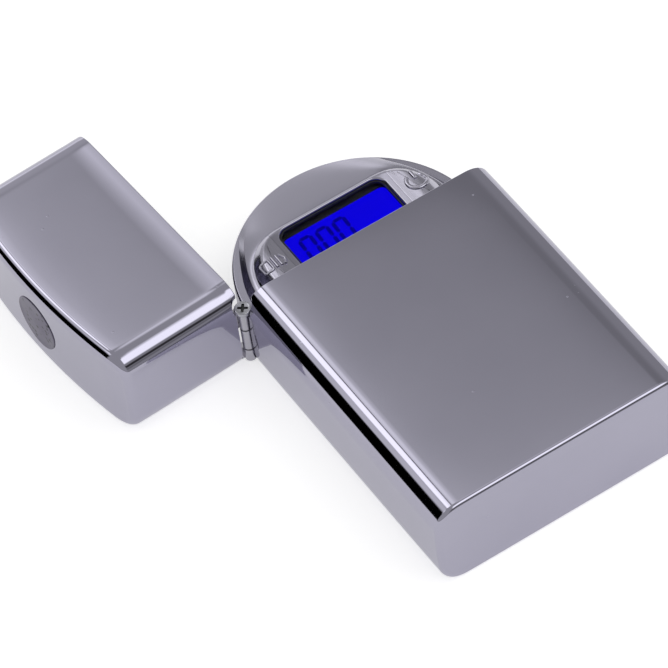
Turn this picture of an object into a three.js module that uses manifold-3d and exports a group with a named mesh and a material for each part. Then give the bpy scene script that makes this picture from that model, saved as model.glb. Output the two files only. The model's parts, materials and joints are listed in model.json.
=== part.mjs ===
// A pocket digital scale in a flip-top steel case shaped like a petrol lighter.
// Millimetres, +Z up. The closed-backed case lies on its back face, the mouth of the case looks along +Y and
// the lid's hinge is on the -X side. The origin is the centre of the case's back face.
import * as THREE from 'three';
import { mergeVertices } from 'three/addons/utils/BufferGeometryUtils.js';
import Module from 'manifold-3d';

const wasm = await Module();
wasm.setup();

// ---------------------------------------------------------------- driving dimensions
const GAP = 0.3; // clearance between neighbouring pieces

// drawn steel shells, shared by the case and the lid
const WIDTH = 53;
const THICKNESS = 20.1;
const WALL = 0.8;
const LONG_EDGE_R = 4.9; // edges that run along the length
const END_EDGE_R = 0.9; // edges round the closed ends

const CASE_LENGTH = 62.2;
const CASE_CORNER_R = 1.2;
const LID_SIDE = 25.8; // lid height at its sides
const LID_CROWN = 2.4; // how far the lid's end bulges above its sides
const LID_CORNER_R = 1.8;
const MOUTH_Y = CASE_LENGTH / 2; // the mouth plane, from the origin

// hinge: a barrel of three knuckles on the outer plane of the -X wall
const LID_OPEN_DEG = 93;
const PIN_X = -26.57;
const PIN_Y = 0.25;
const BARREL_R = 1.1;
const PIN_R = 0.55;
const PIN_HOLE_R = PIN_R + GAP;
const KNUCKLE_TOP = { low: 11.5, high: 15.6 };
const KNUCKLE_MID = { low: 6.1, high: 11.2 };
const KNUCKLE_LOW = { low: 2.8, high: 5.8 };
const SCREW_HEAD_R = 1.52;
const SCREW_HEAD_H = 0.9;
const LEAF_T = 0.5;
const LEAF_LENGTH = 12;
const LEAF_LOW_Z = 4.2; // above the wall's rounded edge
const LEAF_STRIP = 1.9; // how far a strip reaches from the pin before its leaf starts

// scale body that slides into the case
const BODY_HALF = 23.4; // half width inside the case
const HEAD_R = 23.9; // the round head, a little wider than the body
const HEAD_CENTRE = { x: -0.25, y: 2.3 };
const FLARE_Y = -3; // where the body starts to widen to its head
const BODY_END_Y = -59.6;
const BODY_CORNER_R = 4;
const BODY_BACK_Z = 1.6;
const BODY_WALL = 1.4;
const SPLIT_Z = 9.8; // joint line between the two housings
const FRONT_Z = 14.5; // front of the upper housing, under the platform
const COVER_WALL = 1.2; // wall and skin of the upper housing
const HEAD_STEP = 1.75; // ledge round the head
const HEAD_FRONT_Z = 13.3; // front of the head at its foot
const HEAD_TIP_Z = 10.6; // front of the head at its tip
const HEAD_SLOPE_FROM_Y = 5;

// raised display block at the foot of the head
const BLOCK_HALF = 19.2;
const BLOCK_TOP_Y = 15.4;
const BLOCK_CORNER_R = 9;
const BLOCK_FRONT_Z = 13.9;
const BLOCK_FOOT_Y = -1;
const CRESCENT_GAP = 0.55; // groove between the buttons and the head
const BUTTON_INNER_X = 12.6;
const WINDOW = { half: 11.3, bottom: 2, top: 14, corner: 2.2 };
const BUTTON_X = 15.6;
const BUTTON_Y = 8;
const BUTTON_T = 1.5;
const STEM_R = 1.4;

// electronics
const PCB_Z = 7.4;
const PCB_T = 1;
const PCB_TOP_Z = PCB_Z + PCB_T + 0.05; // where the parts on the board stand
const LCD_Z = 10.6;
const LCD_T = 1;
const LENS_Z = 11.7;
const LENS_T = 0.6;
const GLASS = { half: 12, bottom: 1.2, top: 14.8 }; // the lens, and the top of the display glass
const LCD_BOTTOM = -1.6;

// load cell and platform
const CELL = { length: 38, width: 9, height: 5.6, y: -20, z: 6.5 };
const CELL_BORE = { r: 2.4, x: 4, slot: 0.6 }; // double bore that lets the beam bend
const CELL_SCREW_X = 15.4;
const CELL_SCREW_PITCH = 3;
const CELL_SCREW_DY = 2.1;
const SCREW_R = 0.9;
const SCREW_HOLE_R = SCREW_R + GAP;
const GAUGE = { halfX: 2.6, halfY: 1.8, t: 0.2, film: 0.05 };
const PLATFORM = { half: 21.9, bottom: -58.2, top: -2.8, corner: 4, z: 16.7, t: 0.9 };
const BRACKET = { left: -17, right: 19, near: -37, depth: 34, corner: 3, z: 15.2, t: 1.2 };
const POST = { x0: 11.4, x1: 19, halfY: 3.8 }; // the bracket's post, which stands on the load cell

// battery bay
const BAY_Y = -43;
const COIN_R = 10;
const COIN_H = 3.2;
const COIN_Z = 3.6;
const COVER_R = 12.2;
const LUG_R = 13.3;
const LUG_COUNT = 3;
const LUG_TURN_DEG = 40; // how far the cover turns to free its lugs
const BAY_WALL_R = 14.2;
const BAY_WALL_T = 0.8;
const CRADLE_R = 11.4;
const LUG = { inner: 10.7, halfWidth: 1.8, height: 0.8 };
const COIN_SLOT = { half: 6, halfWidth: 0.9, depth: 0.6 };

const HOUSING_SCREWS = [[-18.6, -54.6], [18.6, -54.6], [-18.8, -8.2], [18.8, -8.2]];
const FOOT_PADS = [[-11, -55.8], [11, -55.8], [-14, 6], [14, 6]];
const BOSS_R = 2.5;
const EMBED = 0.2; // how far a rib or boss runs into the wall it grows from

// ---------------------------------------------------------------- materials
const finish = (color, roughness, metalness) =>
  () => new THREE.MeshStandardMaterial({ color, roughness, metalness });
const chrome = finish(0x9a97a4, 0.08, 1);
const chromedPlastic = finish(0x8f8c99, 0.22, 0.9);
const springSteel = finish(0xa7a9ad, 0.35, 1);
const brushedSteel = finish(0xb4b6ba, 0.3, 1);
const aluminium = finish(0xc4c6ca, 0.4, 1);
const whitePlastic = finish(0xe9e9e4, 0.6, 0);
const blackRubber = finish(0x141416, 0.8, 0);
const clearPlastic = finish(0xdfe6ee, 0.05, 0);
const displayBlue = finish(0x0c0cd8, 0.3, 0);
const boardGreen = finish(0x1d6b3a, 0.55, 0);
const epoxyBlack = finish(0x0c0c0e, 0.45, 0);
const foilGrey = finish(0x8a8793, 0.45, 0.6);
const foamGrey = finish(0x55565a, 0.95, 0);
const gaugeAmber = finish(0xb9772b, 0.5, 0);
const wireRed = finish(0xb01818, 0.5, 0);
const wireBlack = finish(0x101012, 0.5, 0);
const wireWhite = finish(0xdcdcd8, 0.5, 0);

// ---------------------------------------------------------------- solids
function toSolid(geometry) {
  geometry.deleteAttribute('normal');
  geometry.deleteAttribute('uv');
  const merged = mergeVertices(geometry, 1e-4);
  return new wasm.Manifold(new wasm.Mesh({
    numProp: 3,
    vertProperties: new Float32Array(merged.attributes.position.array),
    triVerts: new Uint32Array(merged.index.array),
  }));
}

function toMesh(name, solid, material) {
  const { vertProperties, triVerts } = solid.getMesh();
  const geometry = new THREE.BufferGeometry();
  geometry.setAttribute('position', new THREE.BufferAttribute(new Float32Array(vertProperties), 3));
  geometry.setIndex(new THREE.BufferAttribute(new Uint32Array(triVerts), 1));
  geometry.computeVertexNormals();
  const mesh = new THREE.Mesh(geometry, material());
  mesh.name = name;
  return mesh;
}

// a block between two corners
function block(x0, x1, y0, y1, z0, z1) {
  const geometry = new THREE.BoxGeometry(x1 - x0, y1 - y0, z1 - z0);
  geometry.translate((x0 + x1) / 2, (y0 + y1) / 2, (z0 + z1) / 2);
  return toSolid(geometry);
}

// a disc or rod standing on z0
function rod(radius, x, y, z0, z1, segments = 24) {
  const geometry = new THREE.CylinderGeometry(radius, radius, z1 - z0, segments);
  geometry.rotateX(Math.PI / 2);
  geometry.translate(x, y, (z0 + z1) / 2);
  return toSolid(geometry);
}

// an outline in the XY plane, extruded from z0 to z1
function slab(shape, z0, z1, curveSegments = 6) {
  const geometry = new THREE.ExtrudeGeometry(shape, { depth: z1 - z0, bevelEnabled: false, curveSegments });
  geometry.translate(0, 0, z0);
  return toSolid(geometry);
}

function roundedRect(x0, x1, y0, y1, r) {
  const shape = new THREE.Shape();
  shape.moveTo(x0 + r, y0);
  shape.lineTo(x1 - r, y0);
  shape.absarc(x1 - r, y0 + r, r, -Math.PI / 2, 0);
  shape.lineTo(x1, y1 - r);
  shape.absarc(x1 - r, y1 - r, r, 0, Math.PI / 2);
  shape.lineTo(x0 + r, y1);
  shape.absarc(x0 + r, y1 - r, r, Math.PI / 2, Math.PI);
  shape.lineTo(x0, y0 + r);
  shape.absarc(x0 + r, y0 + r, r, Math.PI, 1.5 * Math.PI);
  return shape;
}

// two rounded corners at the far end (+Y), square at y0
function roundTopped(half, y0, y1, r) {
  const shape = new THREE.Shape();
  shape.moveTo(-half, y0);
  shape.lineTo(half, y0);
  shape.lineTo(half, y1 - r);
  shape.absarc(half - r, y1 - r, r, 0, Math.PI / 2);
  shape.lineTo(r - half, y1);
  shape.absarc(r - half, y1 - r, r, Math.PI / 2, Math.PI);
  return shape;
}

// the scale body's outline: square foot with round corners, half-round head
function bodyOutline(inset, footY) {
  const half = BODY_HALF - inset;
  const headR = HEAD_R - inset;
  const r = Math.max(BODY_CORNER_R - inset, 0.5);
  const shape = new THREE.Shape();
  shape.moveTo(r - half, footY);
  shape.lineTo(half - r, footY);
  shape.absarc(half - r, footY + r, r, -Math.PI / 2, 0);
  shape.lineTo(half, FLARE_Y);
  shape.lineTo(HEAD_CENTRE.x + headR, HEAD_CENTRE.y);
  shape.absarc(HEAD_CENTRE.x, HEAD_CENTRE.y, headR, 0, Math.PI);
  shape.lineTo(-half, FLARE_Y);
  shape.lineTo(-half, footY + r);
  shape.absarc(r - half, footY + r, r, Math.PI, 1.5 * Math.PI);
  return shape;
}

// ---------------------------------------------------------------- drawn shells
// One closed-ended box with rounded long edges: its section along Y, cut by its outline seen from the front.
// The closed end is at +Y and may bulge by crown. The open end is cut square at y = 0.
function drawnBox(length, crown, cornerR, inset) {
  const half = WIDTH / 2 - inset;
  const end = length - inset;
  const longR = LONG_EDGE_R - inset;
  const r = Math.max(cornerR - inset, 0.35);
  const edge = Math.max(END_EDGE_R - inset, 0.2);
  const over = 5; // how far the raw box runs past the mouth before it is cut

  const section = roundedRect(-half, half, inset, THICKNESS - inset, longR);
  const run = length + crown + 2 * over;
  const tube = new THREE.ExtrudeGeometry(section, { depth: run, bevelEnabled: false, curveSegments: 8 });
  tube.rotateX(Math.PI / 2);
  tube.translate(0, run - over, 0);

  const outline = new THREE.Shape();
  outline.moveTo(edge - half, edge - over);
  outline.lineTo(half - edge, edge - over);
  outline.lineTo(half - edge, end - r);
  outline.quadraticCurveTo(half - edge, end - edge, half - r, end - edge + crownAt(half - r, crown));
  const steps = crown > 0 ? 14 : 1;
  for (let i = 1; i <= steps; i += 1) {
    const x = (half - r) * (1 - (2 * i) / steps);
    outline.lineTo(x, end - edge + crownAt(x, crown));
  }
  outline.quadraticCurveTo(edge - half, end - edge, edge - half, end - r);
  const plan = new THREE.ExtrudeGeometry(outline, {
    depth: THICKNESS - 2 * inset - 2 * edge,
    bevelEnabled: true,
    bevelThickness: edge,
    bevelSize: edge,
    bevelSegments: 3,
    curveSegments: 4,
  });
  plan.translate(0, 0, inset + edge);

  const mouthCut = block(-WIDTH, WIDTH, -2 * over, 0, -over, THICKNESS + over);
  return toSolid(tube).intersect(toSolid(plan)).subtract(mouthCut);
}

// height of the crown above the lid's sides, a shallow arch across the width
function crownAt(x, crown) {
  return crown * (1 - (2 * x / WIDTH) ** 2);
}

function shell(length, crown, cornerR) {
  const cavity = drawnBox(length, crown, cornerR, WALL);
  return drawnBox(length, crown, cornerR, 0).subtract(cavity);
}

// clearance round the hinge barrel, its screw head and the strips that run to the leaves. It is open in front
// of the head, so that the screw can go in
function hingeNotch() {
  const room = GAP + 0.1;
  const reach = LEAF_STRIP + GAP;
  const strips = block(-WIDTH / 2 - 2, -WIDTH / 2 + 2 * WALL, PIN_Y - reach, PIN_Y + reach,
    KNUCKLE_LOW.low - GAP, KNUCKLE_TOP.high + GAP);
  const barrel = rod(BARREL_R + room, PIN_X, PIN_Y, KNUCKLE_LOW.low - room, KNUCKLE_TOP.high + room);
  const head = rod(SCREW_HEAD_R + room, PIN_X, PIN_Y, KNUCKLE_TOP.high - 0.1, THICKNESS + 1);
  return barrel.add(strips).add(head);
}

function caseShell() {
  // the case is drawn with its closed end towards -Y
  const turned = shell(CASE_LENGTH, 0, CASE_CORNER_R).rotate([0, 0, 180]);
  return turned.subtract(hingeNotch());
}

function lidShell() {
  const drawn = shell(LID_SIDE, LID_CROWN, LID_CORNER_R);
  const rim = block(-WIDTH, WIDTH, -1, GAP, -1, THICKNESS + 1);
  return drawn.subtract(rim).subtract(hingeNotch());
}

// ---------------------------------------------------------------- hinge
function knuckle(span) {
  return rod(BARREL_R, PIN_X, PIN_Y, span.low, span.high);
}

// the strip that runs from a knuckle round the wall's edge to its leaf; side is +1 for the lid and -1 for
// the case
function leafStrip(span, side) {
  const inner = -WIDTH / 2 + WALL + GAP + LEAF_T;
  const near = PIN_Y + side * 0.1;
  const far = PIN_Y + side * LEAF_STRIP;
  return block(PIN_X + 0.5, inner, Math.min(near, far), Math.max(near, far), span.low, span.high);
}

function hingeLeaf(spans, side) {
  const outer = -WIDTH / 2 + WALL + GAP;
  const near = PIN_Y + side * 1.5;
  const far = PIN_Y + side * (1.5 + LEAF_LENGTH);
  const y0 = Math.min(near, far);
  const y1 = Math.max(near, far);
  let leaf = block(outer, outer + LEAF_T, y0, y1, LEAF_LOW_Z, KNUCKLE_TOP.high);
  for (const span of spans) {
    leaf = leaf.add(knuckle(span)).add(leafStrip(span, side));
  }
  return leaf.subtract(rod(PIN_HOLE_R, PIN_X, PIN_Y, 0, THICKNESS));
}

// cross slots cut into a screw's head
function crossRecess(x, y, reach, z0, z1) {
  const half = 0.22;
  return block(x - reach, x + reach, y - half, y + half, z0, z1)
    .add(block(x - half, x + half, y - reach, y + reach, z0, z1));
}

function hingeScrew() {
  const headZ = KNUCKLE_TOP.high + GAP;
  const top = headZ + SCREW_HEAD_H;
  return rod(PIN_R, PIN_X, PIN_Y, KNUCKLE_LOW.low - 0.4, headZ + 0.2)
    .add(rod(SCREW_HEAD_R, PIN_X, PIN_Y, headZ, top))
    .subtract(crossRecess(PIN_X, PIN_Y, 1, top - 0.5, top + 1));
}

// ---------------------------------------------------------------- case fittings
// bowed leaf spring that grips the scale body; side is +1 for the +X wall
function retainingSpring(side, y0, y1) {
  const wallX = WIDTH / 2 - WALL - GAP;
  const bow = 1;
  const thickness = 0.3;
  const middle = (y0 + y1) / 2;
  const shape = new THREE.Shape();
  shape.moveTo(side * wallX, y0);
  shape.quadraticCurveTo(side * (wallX - 2 * bow), middle, side * wallX, y1);
  shape.lineTo(side * (wallX - thickness), y1);
  shape.quadraticCurveTo(side * (wallX - thickness - 2 * bow), middle, side * (wallX - thickness), y0);
  return slab(shape, 6, 14, 10);
}

function cushionPad() {
  const back = -CASE_LENGTH + WALL + GAP;
  return block(-18, 18, back, back + 1, 4, 16);
}

// ---------------------------------------------------------------- lid label
function lidLabel() {
  const radius = 5.6;
  const thickness = 0.15;
  const rise = 0.06;
  const disc = rod(radius, 0, 0, -3, 3, 32).rotate([90, 0, 0]);
  const placed = disc.translate([0, LID_SIDE + LID_CROWN, THICKNESS / 2]);
  const steps = 14;
  const band = new THREE.Shape();
  const edge = radius + 1;
  const height = (x, lift) => LID_SIDE + crownAt(x, LID_CROWN) + lift;
  band.moveTo(-edge, height(-edge, rise));
  for (let i = 1; i <= steps; i += 1) {
    const x = -edge + (2 * edge * i) / steps;
    band.lineTo(x, height(x, rise));
  }
  for (let i = 0; i <= steps; i += 1) {
    const x = edge - (2 * edge * i) / steps;
    band.lineTo(x, height(x, rise + thickness));
  }
  return placed.intersect(slab(band, 0, THICKNESS));
}

// ---------------------------------------------------------------- scale body housings
function lowerHousing() {
  const floorZ = BODY_BACK_Z + BODY_WALL;
  const footZ = floorZ - EMBED;
  const bayTop = SPLIT_Z - GAP;
  const cavity = slab(bodyOutline(BODY_WALL, BODY_END_Y + BODY_WALL), floorZ, SPLIT_Z + 1, 14);
  let tray = slab(bodyOutline(0, BODY_END_Y), BODY_BACK_Z, SPLIT_Z, 14).subtract(cavity);

  // bosses for the housing screws, and the load cell's seat
  for (const [x, y] of HOUSING_SCREWS) {
    tray = tray.add(rod(BOSS_R, x, y, footZ, bayTop, 16));
  }
  const seat = { x0: -19.5, x1: -10.8, top: CELL.z - GAP };
  const seatHalf = CELL.width / 2;
  tray = tray.add(block(seat.x0, seat.x1, CELL.y - seatHalf, CELL.y + seatHalf, footZ, seat.top));
  tray = tray.add(batteryBay(footZ, bayTop)).subtract(coverOpening());

  const sink = { r: 2, depth: 0.9 };
  for (const [x, y] of HOUSING_SCREWS) {
    tray = tray.subtract(rod(SCREW_HOLE_R, x, y, 0, THICKNESS, 12));
    tray = tray.subtract(rod(sink.r, x, y, 0, BODY_BACK_Z + sink.depth, 16));
  }
  const blindZ = floorZ + 0.4;
  for (const x of [-CELL_SCREW_X, -CELL_SCREW_X + CELL_SCREW_PITCH]) {
    tray = tray.subtract(rod(SCREW_HOLE_R, x, CELL.y, blindZ, THICKNESS, 12));
  }
  return tray;
}

// outer ring, the cradle round the cells and the ribs between them
function batteryBay(footZ, topZ) {
  const cradleZ = COIN_Z + 1.2;
  const ribHalf = 0.5;
  const ribCount = 4;
  const ring = rod(BAY_WALL_R + BAY_WALL_T, 0, BAY_Y, footZ, topZ, 32)
    .subtract(rod(BAY_WALL_R, 0, BAY_Y, 0, THICKNESS, 32));
  let cradle = rod(CRADLE_R, 0, BAY_Y, cradleZ, topZ, 32);
  for (let i = 0; i < ribCount; i += 1) {
    const rib = block(CRADLE_R - BAY_WALL_T, BAY_WALL_R + BAY_WALL_T / 2, -ribHalf, ribHalf, cradleZ, topZ);
    const turnDeg = (360 / ribCount) * (i + 0.5);
    cradle = cradle.add(rib.rotate([0, 0, turnDeg]).translate([0, BAY_Y, 0]));
  }
  return ring.add(cradle.subtract(rod(COIN_R + 0.4, 0, BAY_Y, 0, THICKNESS, 32)));
}

// the bayonet opening for the battery cover: a round hole with a notch for each lug
function coverOpening() {
  const z1 = BODY_BACK_Z + BODY_WALL + 0.1;
  const notchHalf = LUG.halfWidth + 0.5;
  let opening = rod(COVER_R + GAP, 0, BAY_Y, 0, z1, 32);
  for (let i = 0; i < LUG_COUNT; i += 1) {
    const notch = block(COVER_R - 1, LUG_R + GAP, -notchHalf, notchHalf, 0, z1);
    const turnDeg = LUG_TURN_DEG + (360 / LUG_COUNT) * i;
    opening = opening.add(notch.rotate([0, 0, turnDeg]).translate([0, BAY_Y, 0]));
  }
  return opening;
}

// everything in front of the head's sloping front, lowered by drop
function aboveHead(drop) {
  const tipY = HEAD_CENTRE.y + HEAD_R;
  const over = 2;
  const startY = -3;
  const topZ = THICKNESS + over;
  const profile = new THREE.Shape();
  profile.moveTo(startY, HEAD_FRONT_Z - drop);
  profile.lineTo(HEAD_SLOPE_FROM_Y, HEAD_FRONT_Z - drop);
  profile.lineTo(tipY, HEAD_TIP_Z - drop);
  profile.lineTo(tipY + over, HEAD_TIP_Z - drop);
  profile.lineTo(tipY + over, topZ);
  profile.lineTo(startY, topZ);
  const geometry = new THREE.ExtrudeGeometry(profile, { depth: WIDTH, bevelEnabled: false });
  geometry.rotateX(Math.PI / 2);
  geometry.rotateZ(Math.PI / 2);
  geometry.translate(-WIDTH / 2, 0, 0);
  return toSolid(geometry);
}

function upperHousing() {
  const floorZ = SPLIT_Z + GAP;
  const coverTopY = -1.2; // where the flat cover ends and the head begins
  const headFootY = -6;
  const corner = 3;
  const square = (inset, z0, z1) => {
    const half = BODY_HALF - inset;
    const shape = roundedRect(-half, half, BODY_END_Y + inset, coverTopY - inset, corner - inset);
    return slab(shape, z0, z1, 5);
  };
  const underCover = square(COVER_WALL, floorZ - 1, FRONT_Z - COVER_WALL);
  let cover = square(0, floorZ, FRONT_Z).subtract(underCover);

  // the part of the head that runs under the flat cover stops below the cover's skin
  const aboveFoot = block(-WIDTH, WIDTH, headFootY - 4, -2, FRONT_Z - COVER_WALL, THICKNESS + 1);
  const headSolid = (inset, z0) => slab(bodyOutline(HEAD_STEP + inset, headFootY), z0, THICKNESS, 14);
  const head = headSolid(0, floorZ).subtract(aboveHead(0)).subtract(aboveFoot);
  const hollow = headSolid(COVER_WALL, floorZ - 1).subtract(aboveHead(COVER_WALL)).subtract(aboveFoot);
  cover = cover.add(head).subtract(hollow);

  // the room for the display block, and the hole for the bracket's post
  const half = BLOCK_HALF + CRESCENT_GAP;
  const opening = roundTopped(half, BLOCK_FOOT_Y, BLOCK_TOP_Y + GAP, BLOCK_CORNER_R + CRESCENT_GAP);
  cover = cover.subtract(slab(opening, floorZ + 0.5, THICKNESS, 8));
  const room = 1.2;
  const postRoom = block(POST.x0 - room, POST.x1 + room, CELL.y - POST.halfY - room,
    CELL.y + POST.halfY + room, FRONT_Z - 3, FRONT_Z + 1);
  cover = cover.subtract(postRoom);

  for (const [x, y] of HOUSING_SCREWS) {
    const boss = rod(BOSS_R, x, y, floorZ, FRONT_Z - 0.5, 16);
    cover = cover.add(boss.subtract(rod(SCREW_HOLE_R, x, y, 0, FRONT_Z - 0.9, 12)));
  }
  return cover;
}

// ---------------------------------------------------------------- display block and buttons
function blockSolid(z0) {
  return slab(roundTopped(BLOCK_HALF, BLOCK_FOOT_Y, BLOCK_TOP_Y, BLOCK_CORNER_R), z0, BLOCK_FRONT_Z, 8);
}

function displayBezel() {
  const z0 = LENS_Z + LENS_T + GAP;
  const side = BUTTON_INNER_X - GAP;
  const middle = block(-side, side, BLOCK_FOOT_Y - 1, BLOCK_TOP_Y + 1, 0, THICKNESS);
  const { half, bottom, top, corner } = WINDOW;
  const window = slab(roundedRect(-half, half, bottom, top, corner), 0, THICKNESS);
  return blockSolid(z0).intersect(middle).subtract(window);
}

function displayGasket() {
  const z0 = LENS_Z + LENS_T + GAP / 2;
  const width = 0.5;
  const ring = (inset) => {
    const { half, bottom, top, corner } = WINDOW;
    return roundedRect(inset - half, half - inset, bottom + inset, top - inset, corner - inset);
  };
  return slab(ring(GAP), z0, BLOCK_FRONT_Z - 0.6, 5).subtract(slab(ring(GAP + width), 0, THICKNESS, 5));
}

function button(side) {
  const capZ = BLOCK_FRONT_Z - BUTTON_T;
  const x0 = side > 0 ? BUTTON_INNER_X : -WIDTH;
  const x1 = side > 0 ? WIDTH : -BUTTON_INNER_X;
  const region = block(x0, x1, BLOCK_FOOT_Y - 1, BLOCK_TOP_Y + 1, 0, THICKNESS);
  const stemZ = 11.1; // just above its switch
  const stem = rod(STEM_R, side * BUTTON_X, BUTTON_Y, stemZ, capZ + 0.1, 16);
  return blockSolid(capZ).intersect(region).add(stem);
}

// ---------------------------------------------------------------- electronics
function mainBoard() {
  const z1 = PCB_Z + PCB_T;
  const half = 19.6;
  const footY = -12.5;
  const outline = new THREE.Shape();
  outline.moveTo(-half, footY);
  outline.lineTo(half, footY);
  outline.lineTo(half, HEAD_CENTRE.y);
  outline.absarc(0, HEAD_CENTRE.y, half, 0, Math.PI);
  let board = slab(outline, PCB_Z, z1, 10);
  for (const [x, y] of HOUSING_SCREWS) {
    board = board.subtract(rod(BOSS_R + GAP, x, y, 0, THICKNESS, 16));
  }
  return board;
}

function chipCover() {
  const radius = 4.2;
  const height = 1.3;
  const y = -6.6;
  const points = [new THREE.Vector2(0, 0), new THREE.Vector2(radius, 0)];
  const steps = 5;
  for (let i = 1; i <= steps; i += 1) {
    const a = (i / steps) * Math.PI / 2;
    points.push(new THREE.Vector2(radius * Math.cos(a), height * Math.sin(a)));
  }
  points[points.length - 1].x = 0;
  const geometry = new THREE.LatheGeometry(points, 20);
  geometry.rotateX(Math.PI / 2);
  geometry.translate(0, y, PCB_TOP_Z);
  return toSolid(geometry);
}

function quartzCrystal() {
  const radius = 1;
  const length = 5;
  const geometry = new THREE.CylinderGeometry(radius, radius, length, 14);
  geometry.translate(9, -7, PCB_TOP_Z + radius + 0.05);
  return toSolid(geometry);
}

// a tact switch under a button: its square body and round plunger
function tactSwitch(side) {
  const x = side * BUTTON_X;
  const half = 2.3;
  const bodyTop = PCB_TOP_Z + 1.5;
  return block(x - half, x + half, BUTTON_Y - half, BUTTON_Y + half, PCB_TOP_Z, bodyTop)
    .add(rod(1.2, x, BUTTON_Y, bodyTop - 0.1, bodyTop + 0.4, 14));
}

function backlight() {
  return block(-11.8, 11.8, 1.4, 14.4, PCB_TOP_Z + 0.35, LCD_Z - GAP);
}

function backlightLed() {
  return block(-1.6, 1.6, 15, 16.2, PCB_TOP_Z, PCB_TOP_Z + 1.35);
}

// the striped rubber strip that joins the board to the display glass
function zebraConnector() {
  return block(-11, 11, -1.2, 0.7, PCB_TOP_Z + 0.05, LCD_Z - 0.1);
}

function displayPane(bottom, z0, thickness) {
  return block(-GLASS.half, GLASS.half, bottom, GLASS.top, z0, z0 + thickness);
}

// ---------------------------------------------------------------- load cell and platform
function loadCell() {
  const { length, width, height, y, z } = CELL;
  const middleZ = z + height / 2;
  let beam = block(-length / 2, length / 2, y - width / 2, y + width / 2, z, z + height);
  for (const x of [-CELL_BORE.x, CELL_BORE.x]) {
    const bore = rod(CELL_BORE.r, 0, 0, -width, width, 20).rotate([90, 0, 0]);
    beam = beam.subtract(bore.translate([x, y, middleZ]));
  }
  const slot = block(-CELL_BORE.x, CELL_BORE.x, y - width, y + width,
    middleZ - CELL_BORE.slot, middleZ + CELL_BORE.slot);
  beam = beam.subtract(slot);
  for (const x of [-CELL_SCREW_X, -CELL_SCREW_X + CELL_SCREW_PITCH]) {
    beam = beam.subtract(rod(SCREW_HOLE_R, x, y, 0, THICKNESS, 12));
  }
  for (const dy of [-CELL_SCREW_DY, CELL_SCREW_DY]) {
    beam = beam.subtract(rod(SCREW_HOLE_R, CELL_SCREW_X, y + dy, 0, THICKNESS, 12));
  }
  return beam;
}

function strainGauge(x, top) {
  const { y, z, height } = CELL;
  const { halfX, halfY, t, film } = GAUGE;
  const z0 = top ? z + height + film : z - film - t;
  return block(x - halfX, x + halfX, y - halfY, y + halfY, z0, z0 + t);
}

// a screw with its head at the top (up = 1) or underneath (up = -1), the head's outer face at headZ
function screw(x, y, headZ, tipZ, headR, up) {
  const headT = 0.8;
  const recessDepth = 0.4;
  const reach = headR * 0.62;
  const inner = headZ - up * headT;
  const rootZ = inner + up * 0.1;
  const deep = headZ - up * recessDepth;
  return rod(headR, x, y, Math.min(headZ, inner), Math.max(headZ, inner), 16)
    .add(rod(SCREW_R, x, y, Math.min(rootZ, tipZ), Math.max(rootZ, tipZ), 12))
    .subtract(crossRecess(x, y, reach, Math.min(deep, headZ + up), Math.max(deep, headZ + up)));
}

function weighingPlatform() {
  const { half, bottom, top, corner, z, t } = PLATFORM;
  return slab(roundedRect(-half, half, bottom, top, corner), z, z + t, 6);
}

function platformBracket() {
  const { left, right, near, depth, corner, z, t } = BRACKET;
  const plate = slab(roundedRect(left, right, near, near + depth, corner), z, z + t, 4);
  const postZ = CELL.z + CELL.height + 0.6;
  const post = block(POST.x0, POST.x1, CELL.y - POST.halfY, CELL.y + POST.halfY, postZ, z + 0.1);
  let bracket = plate.add(post);
  for (const dy of [-CELL_SCREW_DY, CELL_SCREW_DY]) {
    bracket = bracket.subtract(rod(SCREW_HOLE_R, CELL_SCREW_X, CELL.y + dy, 0, THICKNESS, 12));
  }
  // one pocket takes both screw heads
  const pocket = { halfX: 2, halfY: 4.2, z: z + 0.3 };
  return bracket.subtract(block(CELL_SCREW_X - pocket.halfX, CELL_SCREW_X + pocket.halfX,
    CELL.y - pocket.halfY, CELL.y + pocket.halfY, pocket.z, z + t + 1));
}

// ---------------------------------------------------------------- battery
// a coin cell, its narrower negative side down
function coinCell(z) {
  const step = 0.5;
  const inset = 1.1;
  return rod(COIN_R - inset, 0, BAY_Y, z, z + step, 32)
    .add(rod(COIN_R, 0, BAY_Y, z + step - 0.1, z + COIN_H, 32));
}

function batteryCover() {
  const rimTop = BODY_BACK_Z + BODY_WALL + GAP;
  let cover = rod(COVER_R, 0, BAY_Y, BODY_BACK_Z, rimTop + LUG.height, 32);
  for (let i = 0; i < LUG_COUNT; i += 1) {
    const lug = block(LUG.inner, LUG_R, -LUG.halfWidth, LUG.halfWidth, rimTop, rimTop + LUG.height);
    cover = cover.add(lug.rotate([0, 0, (360 / LUG_COUNT) * i]).translate([0, BAY_Y, 0]));
  }
  // a dish for the contact inside, and a coin slot outside
  const dish = rod(COIN_R + 0.6, 0, BAY_Y, BODY_BACK_Z + 1.1, THICKNESS, 32);
  const { half, halfWidth, depth } = COIN_SLOT;
  const slot = block(-half, half, BAY_Y - halfWidth, BAY_Y + halfWidth, 0, BODY_BACK_Z + depth);
  return cover.subtract(dish).subtract(slot);
}

function coverContact() {
  const z0 = BODY_BACK_Z + 1.2;
  const discR = 7;
  const discT = 0.3;
  const bumpR = 3;
  return rod(discR, 0, BAY_Y, z0, z0 + discT, 24)
    .add(rod(bumpR, 0, BAY_Y, z0 + discT - 0.1, z0 + 2 * discT, 16));
}

function topContact() {
  const z0 = COIN_Z + 2 * COIN_H + 0.35;
  const half = 2;
  const bumpR = 3;
  return block(-half, half, BAY_Y - 9, BAY_Y + 14.6, z0, z0 + 0.3)
    .add(rod(bumpR, 0, BAY_Y, z0 - 0.2, z0 + 0.1, 16));
}

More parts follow.
